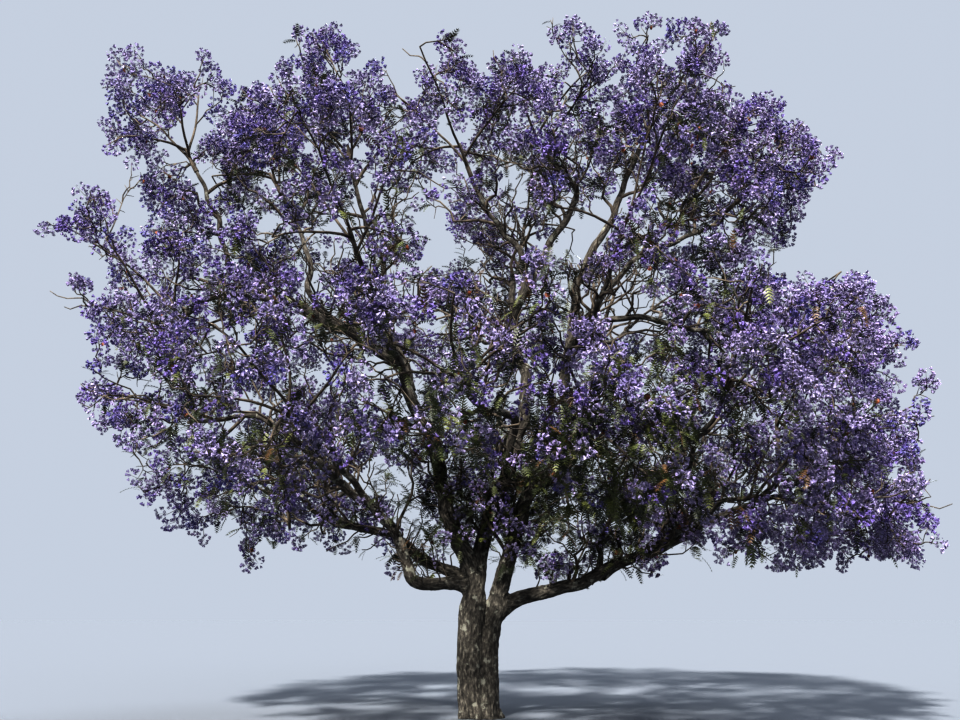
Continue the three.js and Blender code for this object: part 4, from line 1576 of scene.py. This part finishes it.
def add_ramp(tree, value, stops):
    node = add_node(tree, "ValToRGB", {}, {"Fac": value})
    ramp = node.color_ramp
    while len(ramp.elements) < len(stops):
        ramp.elements.new(0.5)
    for element, (position, colour) in zip(ramp.elements, stops):
        element.position = position
        element.color = (*colour, 1)
    return node.outputs["Color"]


def add_mix(tree, share, first, second):
    node = tree.nodes.new("ShaderNodeMix")
    node.data_type = "RGBA"
    for key, socket in (("Factor", share), ("A", first), ("B", second)):
        tree.links.new(socket, node.inputs[key])
    return node.outputs["Result"]


def add_bump(tree, links, strength, distance):
    values = {"Strength": strength, "Distance": distance}
    return add_node(tree, "Bump", values, links).outputs["Normal"]


def bark_material(name, dark, middle, light):
    """Grey-brown bark, fissured along the limb, with pale patches of lichen. Its colour follows the
    ridges of its bump, lighter on them and near black down in the fissures: partly the bark's own
    darker furrows and partly painted shade.
    """
    material, tree, shader = new_material(name, 0.93)
    grain = tree.nodes.new("ShaderNodeAttribute")
    grain.attribute_name = "grain"
    along = grain.outputs["Vector"]
    squeeze = add_node(tree, "Mapping", {"Scale": GRAIN_SQUEEZE}, {"Vector": along})
    ridges = add_noise(tree, squeeze.outputs["Vector"], scale=26, detail=7, roughness=0.68)
    fine = add_noise(tree, squeeze.outputs["Vector"], scale=95, detail=5)
    patches = add_noise(tree, along, scale=7.5, detail=6, roughness=0.6)
    # The tones follow the ridges of the bump, near black where they sink into fissures: partly the
    # bark's own darker furrows, partly painted shade
    bark = add_ramp(tree, ridges, [(0.36, dark), (0.52, middle), (0.70, light)])
    pale = add_ramp(tree, fine, [(0.3, shaded(LICHEN, 0.7)), (0.7, LICHEN)])
    cover = [(LICHEN_FROM, (0, 0, 0)), (LICHEN_FROM + LICHEN_EDGE, LICHEN_COVER)]
    colour = add_mix(tree, add_ramp(tree, patches, cover), bark, pale)
    tree.links.new(colour, shader.inputs["Base Color"])
    coarse = add_bump(tree, {"Height": ridges}, strength=1.0, distance=0.020)
    links = {"Height": fine, "Normal": coarse}
    normal = add_bump(tree, links, strength=0.5, distance=0.003)
    tree.links.new(normal, shader.inputs["Normal"])
    return material


def shaded(colour, share):
    return tuple(part * share for part in colour)


def mottled_material(name, dark, light, scale, roughness, bump=0.0, sheen=0.0):
    """A plain tone with a light mottling."""
    material, tree, shader = new_material(name, roughness)
    place = tree.nodes.new("ShaderNodeTexCoord")
    mottle = add_noise(tree, place.outputs["Object"], scale, detail=3)
    colour = add_ramp(tree, mottle, [(0.35, dark), (0.65, light)])
    tree.links.new(colour, shader.inputs["Base Color"])
    if bump:
        normal = add_bump(tree, {"Height": mottle}, strength=0.6, distance=bump)
        tree.links.new(normal, shader.inputs["Normal"])
    shader.inputs["Sheen Weight"].default_value = sheen
    return material


def petal_material(name, colour):
    dark = shaded(colour, 0.84)
    light = shaded(colour, 1.12)
    return mottled_material(name, dark, light, scale=48, roughness=0.62, sheen=0.12)


def leaf_material(name, colour):
    dark = shaded(colour, 0.75)
    light = shaded(colour, 1.2)
    return mottled_material(name, dark, light, scale=30, roughness=0.55)


# Floor, light and camera

def build_stage():
    bpy.ops.mesh.primitive_plane_add(size=FLOOR_SIZE, location=FLOOR_PLACE)
    floor = bpy.context.object
    floor.name = "floor"
    material, _, shader = new_material("floor_matte", 0.95)
    shader.inputs["Base Color"].default_value = FLOOR_COLOUR
    shader.inputs["Specular IOR Level"].default_value = 0
    floor.data.materials.append(material)


def build_light():
    world = bpy.data.worlds.new("studio")
    world.use_nodes = True
    background = world.node_tree.nodes["Background"]
    background.inputs["Color"].default_value = SKY_COLOUR
    background.inputs["Strength"].default_value = 0.50
    bpy.context.scene.world = world
    view = bpy.context.scene.view_settings
    view.view_transform = "Standard"
    view.exposure = 0.76
    view.gamma = 0.63
    add_sun("key", 10.2, 4, (1.0, 0.96, 0.90), (45, -20))
    add_sun("front_fill", 1.0, 60, (0.94, 0.95, 1.0), (68, 15))
    add_sun("back_fill", 3.4, 30, (0.90, 0.94, 1.0), (50, 155))


def add_sun(name, energy, spread, colour, angles):
    """A light from far off, tilted from straight down and then turned, in degrees."""
    sun = bpy.data.lights.new(name, "SUN")
    sun.energy = energy
    sun.angle = math.radians(spread)
    sun.color = colour
    light = bpy.data.objects.new(name, sun)
    light.rotation_euler = (math.radians(angles[0]), 0, math.radians(angles[1]))
    bpy.context.scene.collection.objects.link(light)


def build_camera():
    lens = bpy.data.cameras.new("view")
    lens.sensor_width = 36
    lens.lens = lens.sensor_width * PICTURE_FOCUS / (2 * PICTURE_MIDDLE[0])
    camera = bpy.data.objects.new("view", lens)
    camera.location = tuple(VIEWPOINT)
    camera.rotation_euler = (math.radians(90 + CAMERA_TILT), 0, 0)
    bpy.context.scene.collection.objects.link(camera)
    bpy.context.scene.camera = camera


def main():
    limbs = grow_limbs()
    crown = Crown(limbs)
    masses = [grow_mass(limb, crown) for limb in limbs]
    # Bark tones from darkest, down in the fissures and partly painted shade there, to lightest on the
    # ridges
    bark = bark_material(
        "trunk_bark", (0.006, 0.005, 0.004), (0.040, 0.036, 0.030), (0.150, 0.140, 0.118))
    limb_bark = bark_material(
        "bough_bark", (0.008, 0.007, 0.006), (0.042, 0.037, 0.031), (0.140, 0.128, 0.108))
    twig_bark = mottled_material(
        "twig_bark", (0.016, 0.012, 0.010), (0.098, 0.080, 0.060),
        scale=7, roughness=0.85, bump=0.002)
    stalk = mottled_material(
        "stalk", (0.030, 0.024, 0.022), (0.060, 0.050, 0.038), scale=30, roughness=0.8)
    petals = {row["name"]: petal_material(row["name"], row["colour"]) for row in BLOSSOM_TONES}
    leaves = {row["name"]: leaf_material(row["name"], row["colour"]) for row in LEAF_TONES}
    pod = mottled_material(
        "pod", (0.050, 0.018, 0.009), (0.190, 0.055, 0.020), scale=60, roughness=0.7)
    build_trunk(limbs, bark)
    build_boughs(limbs, limb_bark)
    shoots = grow_shoots(limbs, crown, FINE_SEED - 1, SHOOT_STEP, SHOOT_LENGTHS)
    bare = grow_shoots(limbs, crown, FINE_SEED - 7, BARE_STEP, BARE_LENGTHS, BARE_DEEPEST)
    bare_twigs = grow_branchlets(bare, crown, FINE_SEED - 8)
    stems, twigs, heads = [np.concatenate(lines) for lines in zip(*masses)]
    outer = heads[depth_in_crown(heads[:, -1]) > OUTER_DEPTH]
    branchlets = np.concatenate([
        heads,
        grow_branchlets(outer, crown, FINE_SEED - 5, OUTER_LENGTHS),
        grow_branchlets(twigs, crown, FINE_SEED - 4),
        grow_heart(limbs, crown),
        grow_branchlets(shoots, crown, FINE_SEED - 2),
    ])
    fine = grow_fine(branchlets, crown)
    wood = [
        tubes(stems, STEM_VISIBLE, STEM_SIDES),
        tubes(twigs, TWIG_VISIBLE, TWIG_SIDES),
        tubes(shoots, SHOOT_VISIBLE, TWIG_SIDES),
        tubes(bare, BARE_VISIBLE, TWIG_SIDES),
        tubes(bare_twigs, BRANCHLET_VISIBLE, FINE_SIDES),
        tubes(branchlets, BRANCHLET_VISIBLE, FINE_SIDES),
    ]
    nodes = [f"mass_{limb.name}" for limb in limbs]
    add_piece("twigs", wood, True, twig_bark, nodes)
    fine_wood = [tubes(fine["lines"], FINE_VISIBLE, FINE_SIDES)]
    add_piece("fine_twigs", fine_wood, True, twig_bark)
    build_blossom(fine, petals, stalk)
    build_leaves(fine, leaves)
    build_pods(fine, pod)
    build_stage()
    build_light()
    build_camera()


main()
bpy.context.view_layer.update()
